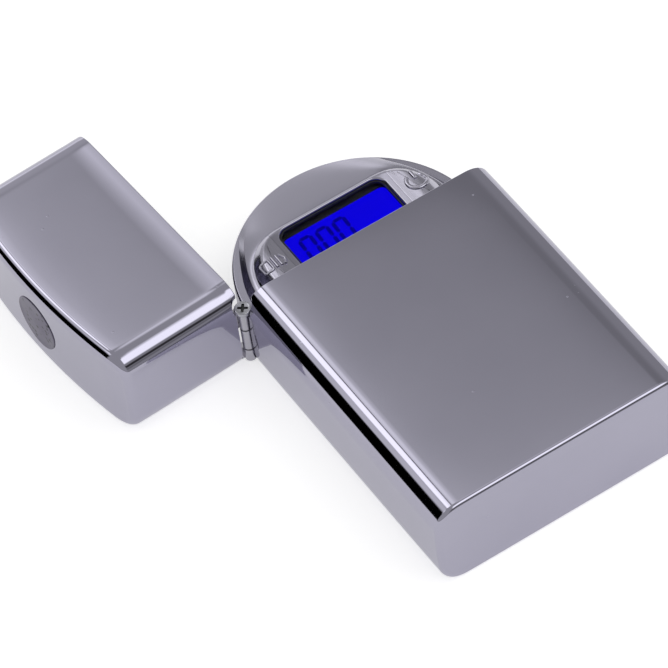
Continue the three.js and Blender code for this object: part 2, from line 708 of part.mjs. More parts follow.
// ---------------------------------------------------------------- wires
function wire(points, radius) {
  const stops = points.map(([x, y, z]) => new THREE.Vector3(x, y, z));
  const path = new THREE.CatmullRomCurve3(stops, false, 'centripetal');
  const section = new THREE.Shape();
  section.absarc(0, 0, radius, 0, 2 * Math.PI);
  const settings = { steps: 14, extrudePath: path, curveSegments: 6, bevelEnabled: false };
  return toSolid(new THREE.ExtrudeGeometry(section, settings));
}

// the battery leads dive under the load cell and come up past the board's edge
const batteryWireRoute = (x) => [[x, -27.6, 10.2], [x, -26.4, 7], [x, -22, 4.6], [x, -17, 4.6],
  [x, -14.6, 5.4], [x, -13.9, 7.6], [x, -13.1, 9.2], [x, -11.4, 9.4]];
const GAUGE_WIRE_ROUTE = [[7.6, -14.6, 8.5], [8.2, -13.9, 9.6], [9.2, -12.8, 10], [10.8, -11.4, 9.4]];

// ---------------------------------------------------------------- assembly
function caseGroup() {
  const group = new THREE.Group();
  group.add(toMesh('case_shell', caseShell(), chrome));
  group.add(toMesh('case_hinge_leaf', hingeLeaf([KNUCKLE_MID], -1), springSteel));
  group.add(toMesh('hinge_screw', hingeScrew(), springSteel));
  group.add(toMesh('retaining_spring_right', retainingSpring(1, -48, -12), springSteel));
  group.add(toMesh('retaining_spring_left', retainingSpring(-1, -52, -18), springSteel));
  group.add(toMesh('cushion_pad', cushionPad(), foamGrey));
  return group;
}

function lidGroup() {
  const closed = new THREE.Group();
  closed.position.set(-PIN_X, -PIN_Y, 0);
  closed.add(toMesh('lid_shell', lidShell(), chrome));
  closed.add(toMesh('lid_hinge_leaf', hingeLeaf([KNUCKLE_LOW, KNUCKLE_TOP], 1), springSteel));
  closed.add(toMesh('lid_label', lidLabel(), foilGrey));
  const opened = new THREE.Group();
  opened.position.set(PIN_X, PIN_Y, 0);
  opened.rotation.z = THREE.MathUtils.degToRad(LID_OPEN_DEG);
  opened.add(closed);
  return opened;
}

function displayGroup() {
  const group = new THREE.Group();
  group.add(toMesh('display_bezel', displayBezel(), chromedPlastic));
  group.add(toMesh('display_gasket', displayGasket(), blackRubber));
  group.add(toMesh('window_lens', displayPane(GLASS.bottom, LENS_Z, LENS_T), clearPlastic));
  group.add(toMesh('lcd_glass', displayPane(LCD_BOTTOM, LCD_Z, LCD_T), displayBlue));
  group.add(toMesh('backlight', backlight(), whitePlastic));
  group.add(toMesh('backlight_led', backlightLed(), whitePlastic));
  group.add(toMesh('zebra_connector', zebraConnector(), blackRubber));
  group.add(toMesh('main_board', mainBoard(), boardGreen));
  group.add(toMesh('chip_cover', chipCover(), epoxyBlack));
  group.add(toMesh('quartz_crystal', quartzCrystal(), springSteel));
  group.add(toMesh('power_switch', tactSwitch(1), epoxyBlack));
  group.add(toMesh('mode_switch', tactSwitch(-1), epoxyBlack));
  group.add(toMesh('power_button', button(1), chromedPlastic));
  group.add(toMesh('mode_button', button(-1), chromedPlastic));
  return group;
}

function weighingGroup() {
  const group = new THREE.Group();
  group.add(toMesh('load_cell', loadCell(), aluminium));
  for (const [i, x] of [-CELL_BORE.x, CELL_BORE.x].entries()) {
    group.add(toMesh(`strain_gauge_top_${i + 1}`, strainGauge(x, true), gaugeAmber));
    group.add(toMesh(`strain_gauge_back_${i + 1}`, strainGauge(x, false), gaugeAmber));
  }
  const cellHead = { z: CELL.z + CELL.height + 0.85, r: 1.1, tipZ: 4.2 };
  for (const [i, x] of [-CELL_SCREW_X, -CELL_SCREW_X + CELL_SCREW_PITCH].entries()) {
    const fastener = screw(x, CELL.y, cellHead.z, cellHead.tipZ, cellHead.r, 1);
    group.add(toMesh(`cell_screw_${i + 1}`, fastener, springSteel));
  }
  const plateHead = { z: BRACKET.z + BRACKET.t - 0.05, r: 1.6, tipZ: CELL.z + 1 };
  for (const [i, dy] of [-CELL_SCREW_DY, CELL_SCREW_DY].entries()) {
    const fastener = screw(CELL_SCREW_X, CELL.y + dy, plateHead.z, plateHead.tipZ, plateHead.r, 1);
    group.add(toMesh(`platform_screw_${i + 1}`, fastener, springSteel));
  }
  group.add(toMesh('platform_bracket', platformBracket(), aluminium));
  group.add(toMesh('weighing_platform', weighingPlatform(), brushedSteel));
  return group;
}

function batteryGroup() {
  const leadX = 2.8;
  const leadR = 0.45;
  const sheathR = 0.6;
  const group = new THREE.Group();
  group.add(toMesh('coin_cell_1', coinCell(COIN_Z), brushedSteel));
  group.add(toMesh('coin_cell_2', coinCell(COIN_Z + COIN_H + 0.1), brushedSteel));
  group.add(toMesh('top_contact', topContact(), springSteel));
  group.add(toMesh('cover_contact', coverContact(), springSteel));
  group.add(toMesh('battery_cover', batteryCover(), chromedPlastic));
  group.add(toMesh('battery_wire_red', wire(batteryWireRoute(leadX), leadR), wireRed));
  group.add(toMesh('battery_wire_black', wire(batteryWireRoute(-leadX), leadR), wireBlack));
  group.add(toMesh('load_cell_wires', wire(GAUGE_WIRE_ROUTE, sheathR), wireWhite));
  return group;
}

function housingGroup() {
  const screwHead = { z: BODY_BACK_Z + 0.1, r: 1.7, tipZ: 12.4 };
  const foot = { r: 2.6, t: 0.4, top: BODY_BACK_Z - 0.05 };
  const group = new THREE.Group();
  group.add(toMesh('lower_housing', lowerHousing(), chromedPlastic));
  group.add(toMesh('upper_housing', upperHousing(), chromedPlastic));
  for (const [i, [x, y]] of HOUSING_SCREWS.entries()) {
    const fastener = screw(x, y, screwHead.z, screwHead.tipZ, screwHead.r, -1);
    group.add(toMesh(`housing_screw_${i + 1}`, fastener, springSteel));
  }
  for (const [i, [x, y]] of FOOT_PADS.entries()) {
    group.add(toMesh(`foot_pad_${i + 1}`, rod(foot.r, x, y, foot.top - foot.t, foot.top, 20), blackRubber));
  }
  return group;
}

const scale = new THREE.Group();
scale.position.y = MOUTH_Y;
const groups = [caseGroup, lidGroup, housingGroup, displayGroup, weighingGroup, batteryGroup];
for (const makeGroup of groups) {
  scale.add(makeGroup());
}

export default scale;
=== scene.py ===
import json
import math

import bmesh
import bpy
from mathutils import Matrix, Vector


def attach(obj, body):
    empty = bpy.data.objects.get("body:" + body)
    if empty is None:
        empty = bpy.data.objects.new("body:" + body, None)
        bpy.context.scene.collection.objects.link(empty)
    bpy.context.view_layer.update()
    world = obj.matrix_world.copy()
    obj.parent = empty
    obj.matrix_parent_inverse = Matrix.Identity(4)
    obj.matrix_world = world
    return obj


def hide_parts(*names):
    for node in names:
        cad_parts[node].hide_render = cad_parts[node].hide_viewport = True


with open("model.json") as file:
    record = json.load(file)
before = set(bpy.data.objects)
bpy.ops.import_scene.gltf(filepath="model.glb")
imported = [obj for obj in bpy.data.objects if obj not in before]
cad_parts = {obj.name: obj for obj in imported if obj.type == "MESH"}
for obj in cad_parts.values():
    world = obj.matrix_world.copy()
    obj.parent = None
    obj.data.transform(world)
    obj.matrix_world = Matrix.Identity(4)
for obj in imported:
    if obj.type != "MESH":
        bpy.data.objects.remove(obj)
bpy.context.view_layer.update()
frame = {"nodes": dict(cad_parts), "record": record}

# Looks for a pocket digital scale in a flip-top chromed case. Shapes below are in millimetres, with y = 0 in
# the plane of the case's mouth; to_frame() turns them into the frame's metres.
MM = 0.001
MOUTH_Y = 31.1

# drawn shells
WIDTH = 53.0
THICKNESS = 20.1
WALL = 0.8
CASE_END_EDGE_R = 0.9
LID_END_EDGE_R = 1.9
CASE_LENGTH = 62.2
CASE_CORNER_R = 1.2
LID_SIDE = 25.8
LID_CROWN = 2.4
LID_CORNER_R = 1.8
LID_GAP = 0.3
LIP_R = 0.18
FACE_DISH = 0.10
WALL_DISH = 0.15
LID_LIP_RISE = 0.17
LID_LIP_SPAN = 3.6
EDGE_REACH = 5.7
EDGE_POWER = 2.4

# hinge
LID_OPEN_DEG = 93.0
PIN = (-26.57, 0.25)
BARREL_R = 1.1
PIN_R = 0.55
KNUCKLE_TOP = (11.5, 15.6)
KNUCKLE_MID = (6.1, 11.2)
KNUCKLE_LOW = (2.8, 5.8)
SCREW_HEAD_R = 1.6
SCREW_HEAD_H = 0.9
HINGE_ROOM = 0.4
LEAF_T = 0.5
LEAF_LENGTH = 12.0
LEAF_LOW_Z = 4.2
LEAF_STRIP = 1.45

# scale body
BODY_HALF = 23.4
HEAD_R = 23.9
HEAD_CENTRE = (-0.25, 2.3)
FLARE_Y = -3.0
BODY_END_Y = -59.6
BODY_CORNER_R = 4.0
BODY_BACK_Z = 1.6
BODY_WALL = 1.4
SPLIT_Z = 9.8
FRONT_Z = 14.5
HEAD_STEP = 1.75
HEAD_MARGIN = 0.34
ARCH_FOOT_Y = -1.2
ARCH_BEVEL = 1.3
ARCH_FLANK_Z = 11.5
ARCH_TOP_Z = 12.3
ARCH_GAP = 0.04
CRESCENT = 0.5
BLOCK_HALF = 19.2
BLOCK_TOP_Y = 15.4
BLOCK_CORNER_R = 9.0
BLOCK_FRONT_Z = 13.9
BLOCK_FOOT_Y = -1.0
BUTTON_INNER_X = 12.6
SEAM = 0.04
WINDOW = {"half": 11.3, "bottom": 2.0, "top": 14.0, "corner": 2.2}
LCD = {"half": 12.0, "bottom": -1.6, "top": 14.8, "z0": 10.6, "z1": 11.6}
LCD_VIEW_TOP = 12.75
LENS = {"half": 12.0, "bottom": 1.2, "top": 14.8, "z0": 11.7, "z1": 12.3}
PLATFORM = {"half": 21.9, "bottom": -58.2, "top": -2.8, "corner": 4.0, "z0": 16.7, "z1": 17.6}
CELL_Y = -20.0
BAY_Y = -43.0
COVER_R = 12.2
LUG_R = 13.3
BOSS_R = 2.5
SCREW_HOLE_R = 1.2
SCREW_SINK_R = 2.0
BAY_WALL_R = (14.2, 15.0)
CRADLE_R = (10.4, 11.4)
CRADLE_Z = 4.8
DIGITS = {"count": 3, "left": -8.9, "pitch": 3.6, "bottom": 5.0, "width": 3.0, "height": 6.4, "bar": 0.72,
          "lean": 0.05}
HOUSING_SCREWS = [(-18.6, -54.6), (18.6, -54.6), (-18.8, -8.2), (18.8, -8.2)]
FOOT_PADS = [(-11, -55.8), (11, -55.8), (-14, 6), (14, 6)]


# ---------------- mesh helpers
def to_frame(p):
    return (p[0] * MM, (p[1] + MOUTH_Y) * MM, p[2] * MM)


def raw_object(name, verts, faces):
    mesh = bpy.data.meshes.new(name)
    mesh.from_pydata([to_frame(v) for v in verts], [], faces)
    mesh.validate()
    work = bmesh.new()
    work.from_mesh(mesh)
    bmesh.ops.remove_doubles(work, verts=work.verts, dist=1e-7)
    bmesh.ops.recalc_face_normals(work, faces=work.faces)
    work.to_mesh(mesh)
    work.free()
    obj = bpy.data.objects.new(name, mesh)
    bpy.context.scene.collection.objects.link(obj)
    return obj


def bake_modifiers(obj):
    evaluated = obj.evaluated_get(bpy.context.evaluated_depsgraph_get())
    mesh = bpy.data.meshes.new_from_object(evaluated)
    obj.modifiers.clear()
    obj.data = mesh
    return obj


def combine(obj, others, operation):
    for other in others:
        modifier = obj.modifiers.new(operation.lower(), "BOOLEAN")
        modifier.operation = operation
        modifier.solver = "EXACT"
        modifier.object = other
    bake_modifiers(obj)
    for other in others:
        bpy.data.objects.remove(other)
    return obj


def cut(obj, *others):
    return combine(obj, others, "DIFFERENCE")


def join(obj, *others):
    return combine(obj, others, "UNION")


def absorb(obj, *others):
    """Adds the other meshes to obj's as they are."""
    work = bmesh.new()
    work.from_mesh(obj.data)
    for other in others:
        work.from_mesh(other.data)
        bpy.data.objects.remove(other)
    work.to_mesh(obj.data)
    work.free()
    return obj


def swing_open(obj):
    """Turns a piece of the closed lid to where the lid is at rest."""
    pin = Vector(to_frame((PIN[0], PIN[1], 0)))
    turn = Matrix.Rotation(math.radians(LID_OPEN_DEG), 4, "Z")
    obj.data.transform(Matrix.Translation(pin) @ turn @ Matrix.Translation(-pin))
    return obj


def finish_piece(obj, body, slot, replaced=(), sharp=38.0, weighted=True, material=None):
    """Smooth shading, the slot's material (or another one by name), and what the frame has to know."""
    for polygon in obj.data.polygons:
        polygon.use_smooth = True
    obj.data.set_sharp_from_angle(angle=math.radians(sharp))
    if weighted:
        modifier = obj.modifiers.new("weighted_normals", "WEIGHTED_NORMAL")
        modifier.keep_sharp = True
    obj.data.materials.clear()
    obj.data.materials.append(MATERIALS[material or slot])
    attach(obj, body)
    if replaced:
        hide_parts(*replaced)


# ---------------- outlines
def smooth(t):
    t = min(max(t, 0.0), 1.0)
    return t * t * (3 - 2 * t)


def arc(cx, cy, r, start, end, n):
    points = []
    for i in range(n + 1):
        a = math.radians(start + (end - start) * i / n)
        points.append((cx + r * math.cos(a), cy + r * math.sin(a)))
    return points


def rounded_rect(x0, x1, y0, y1, r, n=8):
    return (arc(x1 - r, y0 + r, r, -90, 0, n) + arc(x1 - r, y1 - r, r, 0, 90, n)
            + arc(x0 + r, y1 - r, r, 90, 180, n) + arc(x0 + r, y0 + r, r, 180, 270, n))


def round_topped(half, y0, y1, r, n=14):
    return ([(-half, y0), (half, y0)] + arc(half - r, y1 - r, r, 0, 90, n)
            + arc(r - half, y1 - r, r, 90, 180, n))


def framed(spec, corner, n, inset=0.0):
    """A rounded rectangle inset from the one that spec gives."""
    half = spec["half"] - inset
    return rounded_rect(-half, half, spec["bottom"] + inset, spec["top"] - inset, corner - inset, n)


def turn_outline(outline, degrees, cx=0.0, cy=0.0):
    """The outline turned about the origin, then set down round (cx, cy)."""
    c = math.cos(math.radians(degrees))
    s = math.sin(math.radians(degrees))
    return [(cx + (c * x - s * y), s * x + c * y + cy) for x, y in outline]


def body_outline(inset, foot_y, n=72):
    half = BODY_HALF - inset
    r = max(BODY_CORNER_R - inset, 0.5)
    return (arc(half - r, foot_y + r, r, -90, 0, 10) + [(half, FLARE_Y)]
            + arc(*HEAD_CENTRE, HEAD_R - inset, 0, 180, n) + [(-half, FLARE_Y)]
            + arc(r - half, foot_y + r, r, 180, 270, 10))


def offset(outline, d):
    """The outline moved inwards by d, with mitred corners. It runs anticlockwise."""
    moved = []
    count = len(outline)
    for i in range(count):
        px, py = outline[i - 1]
        x, y = outline[i]
        nx, ny = outline[(i + 1) % count]
        a = Vector((x - px, y - py)).normalized()
        b = Vector((nx - x, ny - y)).normalized()
        left = Vector((-a.y - b.y, a.x + b.x))
        if left.length < 1e-9:
            left = Vector((-a.y, a.x))
        left.normalize()
        reach = d / max(left.dot(Vector((-a.y, a.x))), 0.5)
        moved.append((x + left.x * reach, y + left.y * reach))
    return moved


# ---------------- solids
def bridge(rings, closed_ends=True):
    """Quads between rings of equal length, with the first and last ring capped."""
    verts = [p for ring in rings for p in ring]
    n = len(rings[0])
    faces = []
    for k in range(len(rings) - 1):
        for i in range(n):
            j = (i + 1) % n
            faces.append((k * n + i, k * n + j, (k + 1) * n + j, (k + 1) * n + i))
    if closed_ends:
        faces.append(tuple(reversed(range(n))))
        faces.append(tuple(range((len(rings) - 1) * n, len(rings) * n)))
    return verts, faces


def quarter(steps):
    """Even angles from 0 to 90 degrees, in radians."""
    return [math.pi / 2 * i / steps for i in range(steps + 1)]


def fillet_steps(radius, steps):
    """(inset, drop) pairs of a quarter round that runs from the wall to the face."""
    return [(radius * (1 - math.cos(a)), radius * (1 - math.sin(a))) for a in quarter(steps)]


def slab(name, outline, z0, z1, top=0.0, bottom=0.0, steps=4):
    """A plate with rounded edges."""

    def edge(radius, z, way):
        if not radius:
            return [[(x, y, z) for x, y in outline]]
        return [[(x, y, z + way * drop) for x, y in offset(outline, inset)]
                for inset, drop in fillet_steps(radius, steps)]

    return raw_object(name, *bridge(edge(bottom, z0, 1)[::-1] + edge(top, z1, -1)))


def box(name, x0, x1, y0, y1, z0, z1, edge=0.0):
    return slab(name, [(x0, y0), (x1, y0), (x1, y1), (x0, y1)], z0, z1, edge, edge, 2)


def turned(name, profile, cx, cy, n=48):
    """A solid of revolution about a vertical line, from (radius, z) pairs."""
    rings = []
    for r, z in profile:
        circle = arc(0, 0, max(r, 0.001), 0, 360 - 360 / n, n - 1)
        rings.append([(cx + x, cy + y, z) for x, y in circle])
    return raw_object(name, *bridge(rings))


def rod(name, r, cx, cy, z0, z1, edge=0.0, n=48):
    rounding = fillet_steps(edge, 3) if edge else [(0, 0)]
    lower = [(r - inset, z0 + drop) for inset, drop in reversed(rounding)]
    upper = [(r - inset, z1 - drop) for inset, drop in rounding]
    return turned(name, [(0, z0)] + lower + upper + [(0, z1)], cx, cy, n)


def screw_rods(name, r, z0, z1, n):
    return [rod(name, r, x, y, z0, z1, 0.0, n) for x, y in HOUSING_SCREWS]


def bay_rod(name, r, z0, z1, n=64, edge=0.0):
    return rod(name, r, 0, BAY_Y, z0, z1, edge, n)


def bay_spokes(name, directions, r0, r1, half, z0, z1):
    """Blocks that stand out from the middle of the battery bay."""
    outline = [(r0, -half), (r1, -half), (r1, half), (r0, half)]
    return [slab(name, turn_outline(outline, degrees, 0.0, BAY_Y), z0, z1) for degrees in directions]


def stroke(name, path, half_width, height, closed=False):
    """A raised rounded stroke that follows a path lying on a surface: path holds (x, y, z)."""
    rings = []
    count = len(path)
    section = [(math.cos(a), math.sin(a)) for a in (math.pi * i / 6 for i in range(12))]
    for i in range(count):
        before = path[(i - 1) % count] if closed or i > 0 else path[i]
        after = path[(i + 1) % count] if closed or i < count - 1 else path[i]
        along = Vector((after[0] - before[0], after[1] - before[1])).normalized()
        side = Vector((along.y, -along.x))
        x, y, z = path[i]
        rings.append([(x + side.x * c * half_width, y + side.y * c * half_width, z + s * height)
                      for c, s in section])
    if closed:
        rings.append(rings[0])
    verts, faces = bridge(rings, closed_ends=not closed)
    if not closed:
        verts, faces = round_ends(verts, faces, path, half_width, len(section))
    return raw_object(name, verts, faces)


def round_ends(verts, faces, path, half_width, n):
    """Pulls the end rings' middle out a little, so that a stroke doesn't end in a flat cut."""
    verts = list(verts)
    faces = list(faces[:-2])
    for ring, inner, sign in ((0, 1, -1), (len(path) - 1, len(path) - 2, 1)):
        x, y, z = path[ring]
        px, py, _ = path[inner]
        out = Vector((x - px, y - py)).normalized() * half_width * 0.7
        verts.append((x + out.x, y + out.y, z))
        tip = len(verts) - 1
        for i in range(n):
            j = (i + 1) % n
            a, b = ring * n + i, ring * n + j
            faces.append((a, b, tip) if sign > 0 else (b, a, tip))
    return verts, faces


# ---------------- node helpers
MATERIALS = {}


def new_material(name):
    """Adds a material to MATERIALS and gives its node tree and its shader."""
    material = bpy.data.materials.new(name)
    material.use_nodes = True
    tree = material.node_tree
    tree.nodes.clear()
    out = tree.nodes.new("ShaderNodeOutputMaterial")
    shader = tree.nodes.new("ShaderNodeBsdfPrincipled")
    tree.links.new(shader.outputs[0], out.inputs[0])
    MATERIALS[name] = material
    return tree, shader


def feed(tree, socket, value):
    """Links a socket, or sets a number or a colour of three numbers."""
    if isinstance(value, bpy.types.NodeSocket):
        tree.links.new(value, socket)
    else:
        socket.default_value = (*value, 1) if isinstance(value, tuple) else value


def calc(tree, operation, *values):
    node = tree.nodes.new("ShaderNodeMath")
    node.operation = operation
    for i, value in enumerate(values):
        feed(tree, node.inputs[i], value)
    return node.outputs[0]


def times(tree, a, b):
    return calc(tree, "MULTIPLY", a, b)


def plus(tree, a, b):
    return calc(tree, "ADD", a, b)


def toward(tree, share, value, target):
    """value moved towards target by share."""
    return calc(tree, "MULTIPLY_ADD", share, calc(tree, "SUBTRACT", target, value), value)


def ramp(tree, value, low, high, out_low=0.0, out_high=1.0, eased=True):
    node = tree.nodes.new("ShaderNodeMapRange")
    node.interpolation_type = "SMOOTHSTEP" if eased else "LINEAR"
    node.clamp = True
    feed(tree, node.inputs["Value"], value)
    for key, number in (("From Min", low), ("From Max", high), ("To Min", out_low), ("To Max", out_high)):
        node.inputs[key].default_value = number
    return node.outputs["Result"]


def coordinates(tree, stretch=(1, 1, 1)):
    source = tree.nodes.new("ShaderNodeTexCoord")
    mapping = tree.nodes.new("ShaderNodeMapping")
    mapping.inputs["Scale"].default_value = stretch
    tree.links.new(source.outputs["Object"], mapping.inputs["Vector"])
    return mapping.outputs["Vector"]


def noise(tree, scale, detail=3.0, stretch=(1, 1, 1), roughness=0.5):
    node = tree.nodes.new("ShaderNodeTexNoise")
    tree.links.new(coordinates(tree, stretch), node.inputs["Vector"])
    node.inputs["Scale"].default_value = scale
    node.inputs["Detail"].default_value = detail
    node.inputs["Roughness"].default_value = roughness
    return node.outputs["Fac"]


def cells(tree, scale):
    """Distance to the nearest of a scatter of points."""
    node = tree.nodes.new("ShaderNodeTexVoronoi")
    tree.links.new(coordinates(tree), node.inputs["Vector"])
    node.inputs["Scale"].default_value = scale
    return node.outputs["Distance"]


def two_tone(tree, factor, dark, light):
    node = tree.nodes.new("ShaderNodeMix")
    node.data_type = "RGBA"
    feed(tree, node.inputs["Factor"], factor)
    feed(tree, node.inputs[6], dark)
    feed(tree, node.inputs[7], light)
    return node.outputs[2]


def dress(tree, shader, colour, roughness, normal=None, metallic=0.0):
    feed(tree, shader.inputs["Base Color"], colour)
    feed(tree, shader.inputs["Roughness"], roughness)
    shader.inputs["Metallic"].default_value = metallic
    if normal is not None:
        tree.links.new(normal, shader.inputs["Normal"])


def bump(tree, height, distance, strength=1.0, under=None):
    node = tree.nodes.new("ShaderNodeBump")
    node.inputs["Distance"].default_value = distance
    node.inputs["Strength"].default_value = strength
    tree.links.new(height, node.inputs["Height"])
    if under is not None:
        tree.links.new(under, node.inputs["Normal"])
    return node.outputs["Normal"]


# ---------------- materials
def polished(name, dark, light, rough_low, rough_high, ripple):
    """Bright metal: slow ripples from drawing and polishing, faint haze and pinhole specks."""
    tree, shader = new_material(name)
    haze = noise(tree, 60.0, 4.0)
    grain = noise(tree, 2600.0, 2.0)
    soft = plus(tree, times(tree, haze, 0.6), times(tree, grain, 0.4))
    soft = ramp(tree, soft, 0.35, 0.65, rough_low, rough_high)
    dots = ramp(tree, cells(tree, 330.0), 0.05, 0.085, 1.0, 0.0)
    picked = times(tree, dots, ramp(tree, noise(tree, 190.0, 0.0), 0.60, 0.64))
    soft = calc(tree, "MULTIPLY_ADD", picked, 0.25, soft)
    normal = bump(tree, noise(tree, 45.0, 1.0), ripple)
    normal = bump(tree, picked, 0.000008, 0.6, normal)
    dress(tree, shader, two_tone(tree, haze, dark, light), soft, normal, 1.0)


def brushed(name, dark, light, rough_low, rough_high, stretch, depth):
    """Metal with a directional grain."""
    tree, shader = new_material(name)
    grain = noise(tree, 900.0, 4.0, stretch)
    cloud = noise(tree, 70.0, 2.0)
    mixed = plus(tree, times(tree, grain, 0.7), times(tree, cloud, 0.3))
    roughness = ramp(tree, mixed, 0.3, 0.7, rough_low, rough_high)
    dress(tree, shader, two_tone(tree, mixed, dark, light), roughness, bump(tree, grain, depth), 1.0)


def moulded(name, dark, light, rough_low, rough_high, grain_scale, depth):
    """Plastic, rubber, foam or ink: fine grain and slow colour drift."""
    tree, shader = new_material(name)
    grain = noise(tree, grain_scale, 3.0)
    cloud = noise(tree, grain_scale * 0.07, 3.0)
    roughness = ramp(tree, grain, 0.3, 0.7, rough_low, rough_high)
    dress(tree, shader, two_tone(tree, cloud, dark, light), roughness, bump(tree, grain, depth))


CHROME_DARK = (0.410, 0.398, 0.488)
CHROME_LIGHT = (0.450, 0.437, 0.530)
HOUSING_DARK = (0.405, 0.394, 0.474)
HOUSING_LIGHT = (0.450, 0.437, 0.520)
BUTTON_DARK = (0.470, 0.457, 0.545)
BUTTON_LIGHT = (0.525, 0.510, 0.600)

polished("case_chrome", CHROME_DARK, CHROME_LIGHT, 0.035, 0.075, 0.000012)
polished("housing_chrome", HOUSING_DARK, HOUSING_LIGHT, 0.18, 0.22, 0.00001)
polished("button_chrome", BUTTON_DARK, BUTTON_LIGHT, 0.16, 0.20, 0.00001)
polished("hinge_steel", (0.42, 0.41, 0.46), (0.50, 0.49, 0.54), 0.16, 0.24, 0.00001)
brushed("screw_steel", (0.34, 0.34, 0.38), (0.52, 0.52, 0.56), 0.18, 0.32, (1, 1, 1), 0.00001)
brushed("spring_steel", (0.40, 0.40, 0.43), (0.58, 0.58, 0.61), 0.25, 0.4, (1, 0.1, 1), 0.000008)
brushed("platform_steel", (0.46, 0.46, 0.49), (0.60, 0.60, 0.63), 0.24, 0.36, (1, 0.03, 1), 0.000010)
brushed("battery_steel", (0.55, 0.55, 0.57), (0.68, 0.68, 0.70), 0.2, 0.3, (1, 1, 0.1), 0.000008)
brushed("cell_aluminium", (0.62, 0.63, 0.65), (0.75, 0.76, 0.78), 0.3, 0.45, (0.05, 1, 1), 0.000010)
moulded("black_rubber", (0.008, 0.008, 0.010), (0.018, 0.018, 0.022), 0.35, 0.6, 2200.0, 0.00002)
moulded("foam_pad", (0.06, 0.06, 0.065), (0.12, 0.12, 0.13), 0.9, 1.0, 1500.0, 0.0001)
moulded("white_plastic", (0.72, 0.72, 0.70), (0.82, 0.82, 0.80), 0.45, 0.6, 1800.0, 0.00001)
moulded("board_green", (0.010, 0.110, 0.035), (0.018, 0.170, 0.055), 0.3, 0.45, 900.0, 0.00002)
moulded("black_epoxy", (0.006, 0.006, 0.007), (0.014, 0.014, 0.016), 0.25, 0.45, 700.0, 0.00004)
moulded("gauge_film", (0.36, 0.15, 0.02), (0.50, 0.22, 0.04), 0.35, 0.5, 1200.0, 0.00001)
moulded("wire_red", (0.38, 0.008, 0.008), (0.50, 0.014, 0.012), 0.4, 0.5, 900.0, 0.00001)
moulded("wire_black", (0.008, 0.008, 0.009), (0.016, 0.016, 0.018), 0.4, 0.5, 900.0, 0.00001)
moulded("wire_white", (0.70, 0.70, 0.68), (0.80, 0.80, 0.78), 0.4, 0.5, 900.0, 0.00001)


def label_material():
    """Thin metallised foil printed with a dense pattern of tiny dots that reads as grey."""
    tree, shader = new_material("label_foil")
    dots = ramp(tree, cells(tree, 980.0), 0.26, 0.42, 1.0, 0.0)
    ink = times(tree, dots, ramp(tree, noise(tree, 520.0, 2.0), 0.44, 0.54))
    cloud = noise(tree, 160.0, 3.0)
    foil = two_tone(tree, cloud, (0.122, 0.110, 0.158), (0.200, 0.184, 0.250))
    printed = two_tone(tree, times(tree, ink, 0.9), foil, (0.035, 0.033, 0.045))
    dress(tree, shader, printed, ramp(tree, cloud, 0.3, 0.7, 0.32, 0.48),
          bump(tree, noise(tree, 900.0, 2.0), 0.00001), 0.55)


def lit_material(name, cloud_scale, dark, light, base_light, roughness_of):
    """A part of the display that glows by itself and reflects nothing."""
    tree, shader = new_material(name)
    cloud = noise(tree, cloud_scale, 2.0)
    tree.links.new(two_tone(tree, cloud, dark, light), shader.inputs["Emission Color"])
    shader.inputs["Emission Strength"].default_value = 1.0
    shader.inputs["Specular IOR Level"].default_value = 0.0
    base = two_tone(tree, cloud, (0.0, 0.0, base_light - 0.01), (0.0, 0.0, base_light))
    dress(tree, shader, base, roughness_of(tree))


def lens_material():
    tree, shader = new_material("clear_lens")
    haze = noise(tree, 260.0, 3.0)
    dress(tree, shader, two_tone(tree, haze, (0.96, 0.96, 1.0), (0.985, 0.985, 1.0)),
          ramp(tree, haze, 0.3, 0.7, 0.0, 0.03))
    shader.inputs["Transmission Weight"].default_value = 1.0
    shader.inputs["IOR"].default_value = 1.06
    shader.inputs["Specular IOR Level"].default_value = 0.1


label_material()
lens_material()
lit_material("display_blue", 90.0, (0.0022, 0.0004, 0.66), (0.0040, 0.0008, 0.74), 0.03,
             lambda tree: ramp(tree, noise(tree, 1400.0, 2.0), 0.3, 0.7, 0.4, 0.5))
lit_material("display_segments", 700.0, (0.001, 0.0005, 0.20), (0.002, 0.001, 0.27), 0.02, lambda tree: 0.5)

for entry in frame["record"]["subparts"]:
    node = frame["nodes"][entry["node"]]
    node.data.materials.clear()
    node.data.materials.append(MATERIALS[entry["material_slot"]])


# ---------------- drawn shells
def shell_section():
    """Points round the shell's section with their outward directions, anticlockwise from the +X side. The
    long edges turn in slowly, as drawn metal does, so they follow a superellipse and not an arc."""
    half = WIDTH / 2
    r = EDGE_REACH
    power = EDGE_POWER
    flat = half - r
    points = []

    def corner(cx, cz, start):
        turn = math.radians(start)
        c, s = round(math.cos(turn)), round(math.sin(turn))
        for a in quarter(24):
            u = math.cos(a) ** (2 / power) if a < math.pi / 2 else 0.0
            v = math.sin(a) ** (2 / power)
            nx, nz = Vector((u ** (power - 1), v ** (power - 1))).normalized()
            points.append((cx + r * (u * c - v * s), cz + r * (u * s + v * c),
                           nx * c - nz * s, nx * s + nz * c))

    def run(x0, z0, x1, z1, nx, nz, count):
        for i in range(1, count):
            t = i / count
            points.append((x0 + (x1 - x0) * t, z0 + (z1 - z0) * t, nx, nz))

    corner(half - r, THICKNESS - r, 0)
    run(flat, THICKNESS, -flat, THICKNESS, 0, 1, 40)
    corner(r - half, THICKNESS - r, 90)
    run(-half, THICKNESS - r, -half, r, -1, 0, 12)
    corner(r - half, r, 180)
    run(-flat, 0, flat, 0, 0, -1, 40)
    corner(half - r, r, 270)
    run(half, r, half, THICKNESS - r, 1, 0, 12)
    return points


